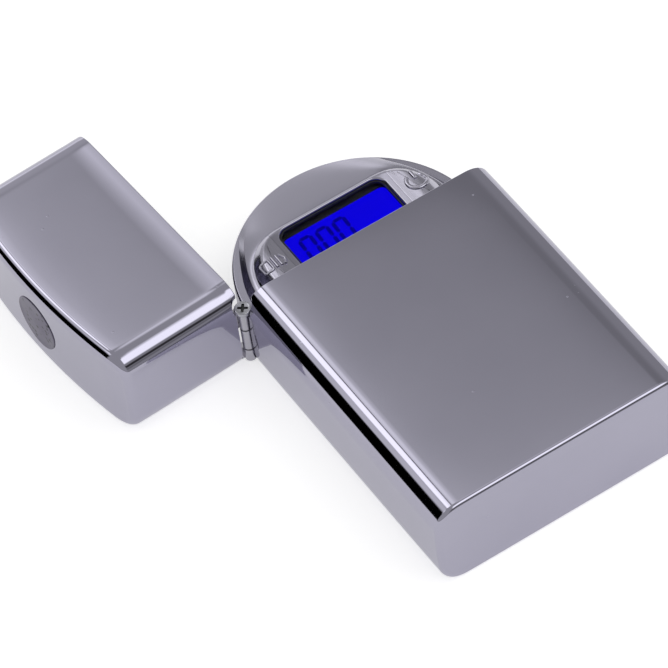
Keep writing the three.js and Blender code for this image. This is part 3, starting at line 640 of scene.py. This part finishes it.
def dished(x, y, z, nx, nz, length, lip_rise):
    """Large faces are very slightly full: they fall away by FACE_DISH towards their edges, and the narrow
    walls by WALL_DISH. From the mouth inwards a face also falls away by lip_rise."""
    flat = WIDTH / 2 - EDGE_REACH
    tall = THICKNESS / 2 - EDGE_REACH
    across = min(abs(x) / flat, 1.0) ** 6
    up = min(abs(z - THICKNESS / 2) / tall, 1.0) ** 2
    along = min(abs(2 * y / length - 1), 1.0) ** 6
    fall = FACE_DISH * (across + along) / 2 + lip_rise * smooth(y / LID_LIP_SPAN)
    side_fall = WALL_DISH * (up + along) / 2
    return (x - nx * side_fall, y, z - nz * fall)


def crown_at(x, crown):
    return crown * (1 - (2 * x / WIDTH) ** 2)


def drawn_shell(length, crown, corner_r, end_edge_r, mouth, lip_rise):
    section = shell_section()
    n = len(section)
    middle_z = THICKNESS / 2

    def ring(inset_of, y_of):
        placed = []
        for x, z, nx, nz in section:
            px, py, pz = dished(x, y_of(x, nx), z, nx, nz, length, lip_rise)
            move = inset_of(nx)
            placed.append((px - nx * move, py, pz - nz * move))
        return placed

    def edge_radius(nx, inset):
        return max(end_edge_r + (corner_r - end_edge_r) * nx * nx - inset, 0.25)

    def end_y(x):
        return length + crown_at(x, crown)

    def closed_end(inset):
        """Rings from the straight wall round the end's edge, then to the middle of the end."""
        made = [ring(lambda nx: inset + edge_radius(nx, inset) * (1 - math.cos(a)),
                     lambda x, nx: end_y(x) - inset - edge_radius(nx, inset) * (1 - math.sin(a)))
                for a in quarter(8)]
        last = made[-1]
        for share in (0.9, 0.8, 0.65, 0.5, 0.35, 0.2, 0.08):
            made.append([(x * share, end_y(x * share) - inset, middle_z + (z - middle_z) * share)
                         for x, _, z in last])
        return made

    def wall(inset):
        """Rings along the straight wall, from the mouth to where the end's edge begins."""
        steps = 16
        return [ring(lambda nx: inset,
                     lambda x, nx: mouth + i / steps * (end_y(x) - inset - edge_radius(nx, inset) - mouth))
                for i in range(1, steps)]

    def lip(inset, way):
        return [ring(lambda nx: inset + way * rounding, lambda x, nx: mouth + drop)
                for rounding, drop in fillet_steps(LIP_R, 4)]

    outside = lip(0, 1)[::-1] + wall(0) + closed_end(0)
    inside = closed_end(WALL)[::-1] + wall(WALL)[::-1] + lip(WALL, -1)
    verts, faces = bridge(outside, closed_ends=False)
    base = len(verts)
    faces.append(tuple(range(base - n, base)))
    inner_verts, inner_faces = bridge(inside, closed_ends=False)
    faces += [tuple(base + i for i in face) for face in inner_faces]
    faces.append(tuple(reversed(range(base, base + n))))
    verts += inner_verts
    last = len(verts) - n
    faces += [(i, last + i, last + (i + 1) % n, (i + 1) % n) for i in range(n)]
    return verts, faces


def hinge_cutters():
    reach = LEAF_STRIP + 0.06
    strips = box("strips", -WIDTH / 2 - 2, -WIDTH / 2 + 2 * WALL, PIN[1] - reach, PIN[1] + reach,
                 KNUCKLE_LOW[0] - 0.3, KNUCKLE_TOP[1] + 0.3)
    barrel = rod("barrel", BARREL_R + HINGE_ROOM, *PIN, KNUCKLE_LOW[0] - HINGE_ROOM,
                 KNUCKLE_TOP[1] + HINGE_ROOM)
    head = rod("head", SCREW_HEAD_R + HINGE_ROOM - 0.1, *PIN, KNUCKLE_TOP[1] - 0.1, THICKNESS + 1)
    return strips, barrel, head


def make_case_shell():
    verts, faces = drawn_shell(CASE_LENGTH, 0.0, CASE_CORNER_R, CASE_END_EDGE_R, 0.0, 0.0)
    shell = raw_object("case_shell_drawn", [(-x, -y, z) for x, y, z in verts], faces)
    cut(shell, *hinge_cutters())
    finish_piece(shell, "case", "case_chrome", ["case_shell"])


def make_lid_shell():
    verts, faces = drawn_shell(LID_SIDE, LID_CROWN, LID_CORNER_R, LID_END_EDGE_R, LID_GAP, LID_LIP_RISE)
    shell = raw_object("lid_shell_drawn", verts, faces)
    cut(shell, *hinge_cutters())
    swing_open(shell)
    finish_piece(shell, "lid", "case_chrome", ["lid_shell"])


make_case_shell()
make_lid_shell()


# ---------------- hinge
def hinge_leaf(name, spans, side):
    outer = -WIDTH / 2 + WALL + 0.3
    near = PIN[1] + side * 1.3
    far = PIN[1] + side * (1.5 + LEAF_LENGTH)
    leaf = box(name, outer, outer + LEAF_T, min(near, far), max(near, far), LEAF_LOW_Z, KNUCKLE_TOP[1], 0.12)
    for low, high in spans:
        a = PIN[1] + side * 0.1
        b = PIN[1] + side * LEAF_STRIP
        strip = box("strip", PIN[0] + 0.5, outer + LEAF_T, min(a, b), max(a, b), low, high)
        knuckle = rod("knuckle", BARREL_R, *PIN, low, high, 0.14)
        join(leaf, strip, knuckle)
    cut(leaf, rod("bore", PIN_R + 0.3, *PIN, 0, THICKNESS))
    return leaf


def cross(name, half_length, half_width, corner, z0, z1):
    """The two bars of the screw's cross."""
    outline = rounded_rect(-half_length, half_length, -half_width, half_width, corner, 4)
    return [slab(name, turn_outline(outline, degrees, *PIN), z0, z1) for degrees in (-36, 54)]


def make_hinge():
    case_leaf = hinge_leaf("case_hinge_leaf_formed", [KNUCKLE_MID], -1)
    finish_piece(case_leaf, "case", "hinge_steel", ["case_hinge_leaf"])
    lid_leaf = swing_open(hinge_leaf("lid_hinge_leaf_formed", [KNUCKLE_LOW, KNUCKLE_TOP], 1))
    finish_piece(lid_leaf, "lid", "hinge_steel", ["lid_hinge_leaf"])

    head_z = KNUCKLE_TOP[1] + 0.3
    top = head_z + SCREW_HEAD_H
    profile = [(0, KNUCKLE_LOW[0] - 0.4), (PIN_R, KNUCKLE_LOW[0] - 0.4), (PIN_R, head_z), (1.48, head_z),
               (1.57, head_z + 0.08), (SCREW_HEAD_R, head_z + 0.2), (SCREW_HEAD_R, top - 0.2)]
    profile += [(r, top - drop) for r, drop in ((1.56, 0.08), (1.48, 0.02), (1.38, 0), (1.30, 0.01),
                                                (1.22, 0.06), (1.08, 0.08), (0.6, 0.08), (0, 0.08))]
    screw = turned("hinge_screw_turned", profile, *PIN)
    arms = cross("arm", 1.02, 0.27, 0.22, top - 0.55, top + 1)
    cut(screw, *arms, rod("socket", 0.46, *PIN, top - 0.6, top + 1))
    finish_piece(screw, "case", "screw_steel", ["hinge_screw"])
    # A black piece lines the bottom of the screw's cross recess and its bars: painted shade in the recess.
    painted_recess_shade = rod("hinge_screw_recess", 0.44, *PIN, top - 0.59, top - 0.45, 0.03, 24)
    join(painted_recess_shade, *cross("bar", 0.99, 0.24, 0.2, top - 0.54, top - 0.4))
    finish_piece(painted_recess_shade, "case", "screw_steel", material="black_epoxy")


make_hinge()


# ---------------- seal on the lid's end
def make_label():
    radius = 5.6
    rise = 0.03
    thickness = 0.12
    n = 72

    def ring(r, lift):
        placed = []
        for i in range(n):
            a = 2 * math.pi * i / n
            x = r * math.cos(a)
            placed.append((x, LID_SIDE + crown_at(x, LID_CROWN) + lift, THICKNESS / 2 + r * math.sin(a)))
        return placed

    rings = [ring(r, rise) for r in (0.5, 2, 4, radius)]
    rings += [ring(radius - inset, rise + thickness - drop) for inset, drop in fillet_steps(0.08, 3)]
    rings += [ring(r, rise + thickness) for r in (5.2, 4.4, 3.4, 2.4, 1.4, 0.5)]
    label = swing_open(raw_object("lid_seal", *bridge(rings)))
    finish_piece(label, "lid", "label_foil", ["lid_label"])


make_label()


# ---------------- scale body housings
def resample(points, count):
    """The line with count points at even distances."""
    lengths = [0.0]
    for a, b in zip(points, points[1:]):
        lengths.append(lengths[-1] + math.dist(a, b))
    made = []
    k = 0
    for i in range(count):
        target = lengths[-1] * i / (count - 1)
        while k < len(points) - 2 and lengths[k + 1] < target:
            k += 1
        span = lengths[k + 1] - lengths[k]
        t = (target - lengths[k]) / span if span else 0.0
        a, b = points[k], points[k + 1]
        made.append((a[0] + (b[0] - a[0]) * t, a[1] + (b[1] - a[1]) * t))
    return made


def even_line(points, spacing):
    """The line with its points about spacing apart."""
    length = sum(math.dist(a, b) for a, b in zip(points, points[1:]))
    return resample(points, round(length / spacing) + 1)


def side_share(x, y):
    """1 at the flanks of the head, 0 round its top."""
    cx, cy = HEAD_CENTRE
    angle = math.atan2(y - cy, x - cx)
    return smooth((abs(math.cos(angle)) - 0.58) / 0.34) if y > cy else 1.0


def head_step(x, y):
    """Width of the ledge outside the head: broad at the flanks, a bare margin at the top."""
    return HEAD_MARGIN + (HEAD_STEP - HEAD_MARGIN) * side_share(x, y)


def arch_height(flank, d, width):
    """Height of the arch's front, d in from its outer edge."""
    low = SPLIT_Z + 0.05
    steep = low + min(d, ARCH_BEVEL)
    if d > ARCH_BEVEL:
        t = min((d - ARCH_BEVEL) / max(width - ARCH_BEVEL, 0.1), 1.0)
        steep += (ARCH_FLANK_Z - low - ARCH_BEVEL) * (1 - (1 - t) ** 2)
    t = d / width
    gentle = low + (ARCH_TOP_Z - low) * (1 - (1 - t) ** 1.35)
    return flank * steep + (1 - flank) * gentle


def make_head_arch():
    """The arch of the upper housing round the display block: bevelled side, rim and sloping front."""
    cx, cy = HEAD_CENTRE
    circle = ([(cx + HEAD_R, ARCH_FOOT_Y)] + arc(cx, cy, HEAD_R, 0, 180, 120)
              + [(cx - HEAD_R, ARCH_FOOT_Y)])
    outer = []
    for x, y in circle:
        step = head_step(x, y)
        away = Vector((x - cx, max(y - cy, 0.0))).normalized()
        outer.append((x - away.x * step, y - away.y * step))
    half = BLOCK_HALF + ARCH_GAP
    top = BLOCK_TOP_Y + ARCH_GAP
    r = BLOCK_CORNER_R + ARCH_GAP
    inner = round_topped(half, ARCH_FOOT_Y, top, r, 30)
    inner = even_line(inner[1:] + inner[:1], 0.5)
    inner = [(x + math.copysign(CRESCENT * smooth((9.5 - y) / 5.5), x), y) for x, y in inner]
    count = 170
    outer = resample(outer, count)
    inner = resample(inner, count)
    low = SPLIT_Z + 0.03
    columns = []
    for i in range(count):
        ox, oy = outer[i]
        ix, iy = inner[i]
        inward = Vector((ix - ox, iy - oy))
        width = inward.length
        inward.normalize()
        flank = side_share(ox, oy)

        def at(d, z):
            return (ox + inward.x * d, oy + inward.y * d, z)

        column = [at(0, low)]
        for k in range(33):
            d = width * (k / 32) ** 1.15
            column.append(at(d, arch_height(flank, d, width)))
        under = max(arch_height(flank, width, width) - 1.5, low + 0.2)
        column.append(at(width, under))
        column.append(at(width * 0.75, under))
        column.append(at(width * 0.6, low))
        columns.append(column)
    return raw_object("arch", *bridge(columns))


def make_upper_housing():
    low = SPLIT_Z + 0.3
    cover_outline = rounded_rect(-BODY_HALF, BODY_HALF, BODY_END_Y, ARCH_FOOT_Y, 3.0, 10)
    cover = slab("upper_housing_moulded", cover_outline, low, FRONT_Z, 0.7, 0.0, 5)
    inner_outline = rounded_rect(1.2 - BODY_HALF, BODY_HALF - 1.2, BODY_END_Y + 1.2, -2.4, 1.8, 6)
    hollow = slab("hollow", inner_outline, low - 1, FRONT_Z - 1.2)
    post = box("post", 10.2, 20.2, CELL_Y - 5, CELL_Y + 5, FRONT_Z - 3, FRONT_Z + 1)
    gate = box("gate", -18.5, 18.5, -4, 0, low - 1, FRONT_Z - 1.2)
    cut(cover, hollow, post, gate)
    join(cover, *screw_rods("boss", BOSS_R, low, FRONT_Z - 0.5, 32))
    cut(cover, *screw_rods("hole", SCREW_HOLE_R, 0, FRONT_Z - 0.9, 24))
    absorb(cover, make_head_arch())
    finish_piece(cover, "scale_body", "housing_chrome", ["upper_housing"])


def make_lower_housing():
    floor_z = BODY_BACK_Z + BODY_WALL
    tray = slab("lower_housing_moulded", body_outline(0, BODY_END_Y), BODY_BACK_Z, SPLIT_Z, 0.45, 1.0, 5)
    hollow = slab("hollow", body_outline(BODY_WALL, BODY_END_Y + BODY_WALL), floor_z, SPLIT_Z + 1)
    cut(tray, hollow)
    lip_outline = body_outline(BODY_WALL - 0.2, BODY_END_Y + BODY_WALL - 0.2)
    lip = slab("lip", lip_outline, SPLIT_Z - 1.2, SPLIT_Z - 0.02)
    cut(lip, slab("inside", body_outline(HEAD_STEP + 0.35, BODY_END_Y + HEAD_STEP + 0.35), 0, THICKNESS))
    join(tray, lip)
    top_z = SPLIT_Z - 0.3
    seat = box("seat", -19.5, -10.8, CELL_Y - 4.5, CELL_Y + 4.5, floor_z - 0.2, 6.2)
    ring = bay_rod("ring", BAY_WALL_R[1], floor_z - 0.2, top_z)
    cut(ring, bay_rod("bay", BAY_WALL_R[0], 0, THICKNESS))
    join(tray, seat, ring, *screw_rods("boss", BOSS_R, floor_z - 0.2, top_z, 32))
    cradle = bay_rod("cradle", CRADLE_R[1], CRADLE_Z, top_z)
    join(cradle, *bay_spokes("rib", (45, 135, 225, 315), 10.6, 14.6, 0.5, CRADLE_Z, top_z))
    cut(cradle, bay_rod("coins", CRADLE_R[0], 0, THICKNESS))
    join(tray, cradle)
    cutters = [bay_rod("opening", COVER_R + 0.3, 0, floor_z + 0.1, 96)]
    cutters += bay_spokes("notch", (40, 160, 280), 11.2, LUG_R + 0.3, 2.3, 0, floor_z + 0.1)
    for x, y in HOUSING_SCREWS:
        cutters.append(rod("hole", SCREW_HOLE_R, x, y, 0, THICKNESS, 0.0, 24))
        cutters.append(rod("sink", SCREW_SINK_R, x, y, 0, BODY_BACK_Z + 0.9, 0.0, 32))
    for x in (-15.4, -12.4):
        cutters.append(rod("cell_hole", SCREW_HOLE_R, x, CELL_Y, floor_z + 0.4, THICKNESS, 0.0, 24))
    cut(tray, *cutters)
    finish_piece(tray, "scale_body", "housing_chrome", ["lower_housing"])


make_upper_housing()
make_lower_housing()


# ---------------- display block and buttons
def block_outline(extra=0.0):
    return round_topped(BLOCK_HALF + extra, BLOCK_FOOT_Y, BLOCK_TOP_Y + extra, BLOCK_CORNER_R + extra, 24)


def block_inset(x, y):
    """How far a point lies inside the block's outline."""
    ax = abs(x)
    corner_x = BLOCK_HALF - BLOCK_CORNER_R
    corner_y = BLOCK_TOP_Y - BLOCK_CORNER_R
    if ax > corner_x and y > corner_y:
        return BLOCK_CORNER_R - math.hypot(ax - corner_x, y - corner_y)
    return min(BLOCK_HALF - ax, BLOCK_TOP_Y - y)


def block_face(x, y):
    """Height of the display block's face: level round the window, a low swell under each mark, and a long
    rolled edge that is deeper at the block's two ends."""
    ax = abs(x)
    swell = 0.5 * smooth((ax - 10.9) / 4.6) * (1 - 0.7 * smooth((ax - 16.0) / 3.2))
    end = smooth((ax - 11.0) / 7.0)
    reach = 1.15 + 0.95 * end
    depth = 1.0 + 0.55 * end
    t = min(max(block_inset(x, y), 0.0) / reach, 1.0)
    return BLOCK_FRONT_Z - 0.5 + swell - depth * (1 - t) ** 1.5


def clip_x(outline, x_cut, side):
    """The part of an outline on one side of a line of constant x."""
    made = []
    for i, a in enumerate(outline):
        b = outline[(i + 1) % len(outline)]
        a_kept = side * (a[0] - x_cut) >= 0
        if a_kept:
            made.append(a)
        if a_kept != (side * (b[0] - x_cut) >= 0):
            t = (x_cut - a[0]) / (b[0] - a[0])
            made.append((x_cut, a[1] + (b[1] - a[1]) * t))
    return made


def even_outline(outline, spacing):
    """Extra points along an outline's straight edges."""
    made = []
    count = len(outline)
    for i in range(count):
        a, b = outline[i], outline[(i + 1) % count]
        parts = max(1, round(math.dist(a, b) / spacing))
        for k in range(parts):
            t = k / parts
            made.append((a[0] + (b[0] - a[0]) * t, a[1] + (b[1] - a[1]) * t))
    return made


def pillow(name, outline, centre, low, height, rings=30):
    """A cap whose face follows height(x, y)."""
    stack = [[(x, y, low) for x, y in outline]]
    last = outline
    for inset in (0.0, 0.05, 0.12, 0.22, 0.35, 0.5, 0.68, 0.88, 1.1):
        last = offset(outline, inset)
        stack.append([(x, y, height(x, y) - (0.02 if inset == 0.0 else 0.0)) for x, y in last])
    for k in range(1, rings):
        share = 1 - k / rings
        ring = []
        for x, y in last:
            px = centre[0] + (x - centre[0]) * share
            py = centre[1] + (y - centre[1]) * share
            ring.append((px, py, height(px, py)))
        stack.append(ring)
    return raw_object(name, *bridge(stack))


def on_face(points, lift=0.0):
    return [(x, y, block_face(x, y) + lift) for x, y in points]


def power_mark():
    cx, cy, r = 16.0, 8.4, 1.95
    ring = stroke("mark", on_face(arc(cx, cy, r, 132, 408, 44), 0.02), 0.42, 0.3)
    bar = stroke("bar", on_face([(cx, cy + 0.5 + 0.25 * i) for i in range(9)], 0.02), 0.42, 0.3)
    return ring, bar


def mode_mark():
    """A generic mark: a frame, two bars and a chevron, with no letters."""
    y0, y1 = 6.5, 9.0
    middle = (y0 + y1) / 2
    frame_path = rounded_rect(-17.9, -16.1, y0, y1, 0.35, 3)
    pieces = [stroke("frame", on_face(frame_path, 0.02), 0.3, 0.3, closed=True)]
    for x in (-15.3, -14.4):
        bar = [(x, y0 + (y1 - y0) * i / 5) for i in range(6)]
        pieces.append(stroke("bar", on_face(bar, 0.02), 0.3, 0.3))
    chevron = [(-13.7, y0), (-13.4, y0 + 0.5), (-13.1, middle), (-13.4, y1 - 0.5), (-13.7, y1)]
    pieces.append(stroke("chevron", on_face(chevron, 0.02), 0.3, 0.3))
    return pieces


def make_button(name, side, node, marks):
    outline = even_outline(clip_x(block_outline(), side * BUTTON_INNER_X, side), 0.4)
    cap = pillow(name, outline, (side * 15.7, 6.6), BLOCK_FRONT_Z - 2.6, block_face)
    stem = rod("stem", 1.4, side * 15.6, 8, 9.9, BLOCK_FRONT_Z - 2.5, 0.1)
    absorb(cap, stem, *marks)
    finish_piece(cap, node, "button_chrome", [node], sharp=50)


def by_angle(points, middle, count):
    """The outline met by rays at even angles from its middle."""
    turns = [2 * math.pi * i / count for i in range(count)]
    return [ray_hit(points, middle, (math.cos(a), math.sin(a))) for a in turns]


def make_bezel():
    low = LENS["z1"] + 0.3
    edge_x = BUTTON_INNER_X - SEAM
    outline = even_outline(clip_x(clip_x(block_outline(), -edge_x, 1), edge_x, -1), 0.4)
    middle = (0.0, 8.0)
    outer = by_angle(outline, middle, 240)
    inner = by_angle(framed(WINDOW, WINDOW["corner"], 10), middle, 240)
    rings = [[(x, y, low) for x, y in inner], [(x, y, low) for x, y in outer]]
    chamfer = 0.42
    mouth = offset(inner, -chamfer)
    for t in (0.0, 0.04, 0.12, 0.25, 0.4, 0.55, 0.7, 0.85):
        between = [(ax + (bx - ax) * t, ay + (by - ay) * t) for (ax, ay), (bx, by) in zip(outer, mouth)]
        rings.append(on_face(between))
    for a in quarter(6):
        rings.append(on_face(offset(mouth, chamfer * math.sin(a)), chamfer * (math.cos(a) - 1)))
    bezel = raw_object("display_bezel_moulded", *bridge(rings + rings[:1], closed_ends=False))
    finish_piece(bezel, "scale_body", "housing_chrome", ["display_bezel"], sharp=50)


def ray_hit(points, origin, direction):
    """Where a ray from inside an outline leaves it."""
    dx, dy = direction
    best = 0.0
    for i, (ax, ay) in enumerate(points):
        bx, by = points[(i + 1) % len(points)]
        ex, ey = bx - ax, by - ay
        det = dx * ey - dy * ex
        if abs(det) < 1e-12:
            continue
        ox, oy = ax - origin[0], ay - origin[1]
        u = (ox * dy - oy * dx) / det
        if -1e-9 <= u <= 1 + 1e-9:
            best = max(best, (ox * ey - oy * ex) / det)
    return (origin[0] + dx * best, origin[1] + dy * best)


def make_display():
    corner = WINDOW["corner"]
    outline = framed(WINDOW, corner, 8, 0.03)
    gasket = slab("display_gasket_moulded", outline, LENS["z1"] + 0.05, BLOCK_FRONT_Z - 0.95, 0.1)
    cut(gasket, slab("inside", framed(WINDOW, corner, 8, 0.32), 0, THICKNESS))
    finish_piece(gasket, "scale_body", "black_rubber", ["display_gasket"])

    lens = slab("window_lens_cut", framed(LENS, 0.6, 4), LENS["z0"], LENS["z1"], 0.1, 0.1, 2)
    finish_piece(lens, "scale_body", "clear_lens", ["window_lens"])

    glass = slab("lcd_glass_cut", framed(LCD, 0.3, 2), LCD["z0"], LCD["z1"] - 0.05, 0.06, 0.06, 2)
    finish_piece(glass, "scale_body", "display_blue", ["lcd_glass"])

    view_outline = rounded_rect(-11.1, 11.45, 2.2, LCD_VIEW_TOP, 1.5, 8)
    mask = slab("lcd_mask", rounded_rect(-11.9, 11.9, 1.5, 14.7, 0.3, 2), LCD["z1"] - 0.046, LCD["z1"] + 0.03)
    cut(mask, slab("view", view_outline, 0, THICKNESS))
    finish_piece(mask, "scale_body", "black_rubber")


def zero_bars(x0):
    """The six bars of a seven-segment zero as slanted hexagons, from its left edge."""
    gap = 0.07
    w = DIGITS["bar"] / 2
    y0 = DIGITS["bottom"]
    left, right = x0 + w, x0 + DIGITS["width"] - w
    bottom, top, middle = y0 + w, y0 + DIGITS["height"] - w, y0 + DIGITS["height"] / 2

    def bar(ax, ay, bx, by):
        along = Vector((bx - ax, by - ay))
        length = along.length
        along.normalize()
        shape = []
        for t, side in ((gap, 0), (gap + w, -1), (length - gap - w, -1), (length - gap, 0),
                        (length - gap - w, 1), (gap + w, 1)):
            px = ax + along.x * t - along.y * side * w
            py = ay + along.y * t + along.x * side * w
            shape.append((px + (py - y0) * DIGITS["lean"], py))
        return shape

    return [bar(left, bottom, right, bottom), bar(left, top, right, top), bar(left, bottom, left, middle),
            bar(left, middle, left, top), bar(right, bottom, right, middle), bar(right, middle, right, top)]


def make_digits():
    z0 = LCD["z1"] - 0.045
    z1 = LCD["z1"] - 0.01
    made = []
    for i in range(DIGITS["count"]):
        for outline in zero_bars(DIGITS["left"] + DIGITS["pitch"] * i):
            made.append(slab("bar", outline, z0, z1))
    digits = made[0]
    digits.name = "lcd_digits"
    absorb(digits, *made[1:])
    finish_piece(digits, "scale_body", "display_blue", weighted=False, material="display_segments")


make_bezel()
make_button("power_button_moulded", 1, "power_button", power_mark())
make_button("mode_button_moulded", -1, "mode_button", mode_mark())
make_display()
make_digits()


# ---------------- platform, battery cover, feet
def make_platform():
    outline = framed(PLATFORM, PLATFORM["corner"], 16)
    plate = slab("weighing_platform_pressed", outline, PLATFORM["z0"], PLATFORM["z1"], 0.35, 0.2, 5)
    finish_piece(plate, "platform", "platform_steel", ["weighing_platform"])


def make_battery_cover():
    rim_top = BODY_BACK_Z + BODY_WALL + 0.3
    cover = bay_rod("battery_cover_moulded", COVER_R, BODY_BACK_Z, rim_top + 0.8, 96, 0.25)
    join(cover, *bay_spokes("lug", (0, 120, 240), 10.7, LUG_R, 1.8, rim_top, rim_top + 0.78))
    dish = bay_rod("dish", 10.6, BODY_BACK_Z + 1.1, THICKNESS)
    slot = slab("slot", rounded_rect(-6, 6, BAY_Y - 0.9, BAY_Y + 0.9, 0.85, 6), 0, BODY_BACK_Z + 0.6)
    cut(cover, dish, slot)
    finish_piece(cover, "battery_cover", "housing_chrome", ["battery_cover"])


def make_feet():
    top = BODY_BACK_Z - 0.05
    for i, (x, y) in enumerate(FOOT_PADS):
        foot = rod(f"foot_pad_moulded_{i + 1}", 2.6, x, y, top - 0.4, top, 0.12, 40)
        finish_piece(foot, "scale_body", "black_rubber", [f"foot_pad_{i + 1}"])


make_platform()
make_battery_cover()
make_feet()


# ---------------- stage
FLOOR_HALF = 2.9
FLOOR_CELLS = 8
FLOOR_Z = -0.0002
FLOOR_GLOW = 0.36
FLOOR_SEEN_GLOW = 0.22


def make_floor():
    """A pale flat floor, far wider than the view."""
    n = FLOOR_CELLS + 1
    places = [2 * FLOOR_HALF * i / FLOOR_CELLS - FLOOR_HALF for i in range(n)]
    verts = [(x, y, FLOOR_Z) for y in places for x in places]
    corners = [j * n + i for j in range(FLOOR_CELLS) for i in range(FLOOR_CELLS)]
    mesh = bpy.data.meshes.new("floor")
    mesh.from_pydata(verts, [], [(a, a + 1, a + n + 1, a + n) for a in corners])
    floor = bpy.data.objects.new("floor", mesh)
    bpy.context.scene.collection.objects.link(floor)
    tree, shader = new_material("floor_paper")
    dress(tree, shader, two_tone(tree, noise(tree, 3.0, 2.0), (0.86, 0.86, 0.86), (0.88, 0.88, 0.88)), 1.0)
    shader.inputs["Specular IOR Level"].default_value = 0.0
    shader.inputs["Emission Color"].default_value = (1, 1, 1, 1)
    seen = tree.nodes.new("ShaderNodeLightPath").outputs["Is Camera Ray"]
    glow = calc(tree, "MULTIPLY_ADD", seen, FLOOR_SEEN_GLOW, FLOOR_GLOW)
    tree.links.new(glow, shader.inputs["Emission Strength"])
    mesh.materials.append(MATERIALS["floor_paper"])


# The studio as polished metal sees it: each light or dark card is (azimuth, half width, soft edge, lowest
# and highest elevation, soft edge, brightness). Angles are in degrees, azimuth anticlockwise from +X. Later
# cards cover earlier ones.
CARDS = [
    (79, 7, 6, 46, 60, 3, 1.60),
    (105, 12, 3, 43, 60, 4, 2.60),
    (127, 9, 2.5, 33, 53, 3, 1.12),
    (148, 11, 4, 44, 57, 3, 1.70),
    (126, 3, 1.5, 55, 63, 2, 0.30),
    (149, 18, 2, 0, 38, 2, 0.0),
    (90, 1.5, 0.8, 50, 60, 2, 0.05),
    (73, 14, 5, 0, 12, 3, 1.5),
    (54, 7, 4, 57, 65, 3, 1.45),
    (-52, 42, 8, 45, 72, 4, 2.4),
    (-66, 34, 8, -5, 43, 3, 0.50),
    (-66, 34, 8, 23, 34, 3, 0.06),
    (-66, 34, 8, 13, 20, 2, 0.30),
]
ROOM_LEVEL = 0.62
SWEEP_LEVEL = 0.55
SWEEP_DARKEST = 0.38
DIFFUSE_LEVEL = 0.80
FILL_ALONG_X = 0.25
FILL_ALONG_Y = -0.45
BACKDROP_LEVEL = 1.05


def make_studio():
    world = bpy.data.worlds.new("studio")
    bpy.context.scene.world = world
    world.use_nodes = True
    tree = world.node_tree
    tree.nodes.clear()
    out = tree.nodes.new("ShaderNodeOutputWorld")
    background = tree.nodes.new("ShaderNodeBackground")
    tree.links.new(background.outputs[0], out.inputs[0])
    coords = tree.nodes.new("ShaderNodeTexCoord")
    split = tree.nodes.new("ShaderNodeSeparateXYZ")
    tree.links.new(coords.outputs["Generated"], split.inputs[0])
    x, y, z = split.outputs
    azimuth = times(tree, calc(tree, "ARCTAN2", y, x), math.degrees(1))
    elevation = times(tree, calc(tree, "ARCSINE", z), math.degrees(1))
    behind = times(tree, ramp(tree, azimuth, 10.0, 26.0), ramp(tree, azimuth, 84.0, 100.0, 1.0, 0.0))
    behind = times(tree, behind, ramp(tree, elevation, 56.0, 60.0, 1.0, 0.0))
    sweep = plus(tree, ramp(tree, azimuth, 52.0, 67.0, -0.20, 0.12, False),
                 ramp(tree, elevation, 48.0, 56.0, -0.17, 0.42, False))
    sweep = plus(tree, sweep, ramp(tree, azimuth, 64.0, 68.0, 0.0, 0.15))
    sweep = calc(tree, "MAXIMUM", plus(tree, sweep, SWEEP_LEVEL), SWEEP_DARKEST)
    sweep = plus(tree, sweep, ramp(tree, elevation, 30.0, 46.0, 0.12, 0.0))
    level = toward(tree, behind, ROOM_LEVEL, sweep)
    for centre, half, soft, low, high, soft_el, brightness in CARDS:
        away = calc(tree, "WRAP", calc(tree, "SUBTRACT", azimuth, centre), 180.0, -180.0)
        across = ramp(tree, calc(tree, "ABSOLUTE", away), half - soft, half + soft, 1.0, 0.0)
        above = ramp(tree, elevation, low - soft_el, low + soft_el)
        below = ramp(tree, elevation, high - soft_el, high + soft_el, 1.0, 0.0)
        level = toward(tree, times(tree, across, times(tree, above, below)), level, brightness)
    path = tree.nodes.new("ShaderNodeLightPath")
    fill = calc(tree, "MULTIPLY_ADD", x, FILL_ALONG_X, DIFFUSE_LEVEL)
    fill = calc(tree, "MULTIPLY_ADD", y, FILL_ALONG_Y, fill)
    level = toward(tree, path.outputs["Is Diffuse Ray"], level, fill)
    level = toward(tree, path.outputs["Is Camera Ray"], level, BACKDROP_LEVEL)
    tree.links.new(level, background.inputs["Strength"])


CAMERA_AT = (-0.27916, -0.52369, 0.74912)
CAMERA_BACK = (-0.2771, -0.5702, 0.7734)
CAMERA_UP = (0.4753, 0.6184, 0.6258)
FOCAL_LENGTH = 287.5
SENSOR_WIDTH = 36.0


def make_camera():
    back = Vector(CAMERA_BACK).normalized()
    right = Vector(CAMERA_UP).cross(back).normalized()
    up = back.cross(right)
    data = bpy.data.cameras.new("camera")
    data.lens = FOCAL_LENGTH
    data.sensor_width = SENSOR_WIDTH
    data.clip_start = 0.01
    data.clip_end = 10.0
    camera = bpy.data.objects.new("camera", data)
    bpy.context.scene.collection.objects.link(camera)
    axes = Matrix((right, up, back)).transposed()
    camera.matrix_world = Matrix.Translation(CAMERA_AT) @ axes.to_4x4()
    bpy.context.scene.camera = camera


make_floor()
make_studio()
make_camera()
bpy.context.scene.view_settings.view_transform = "Standard"
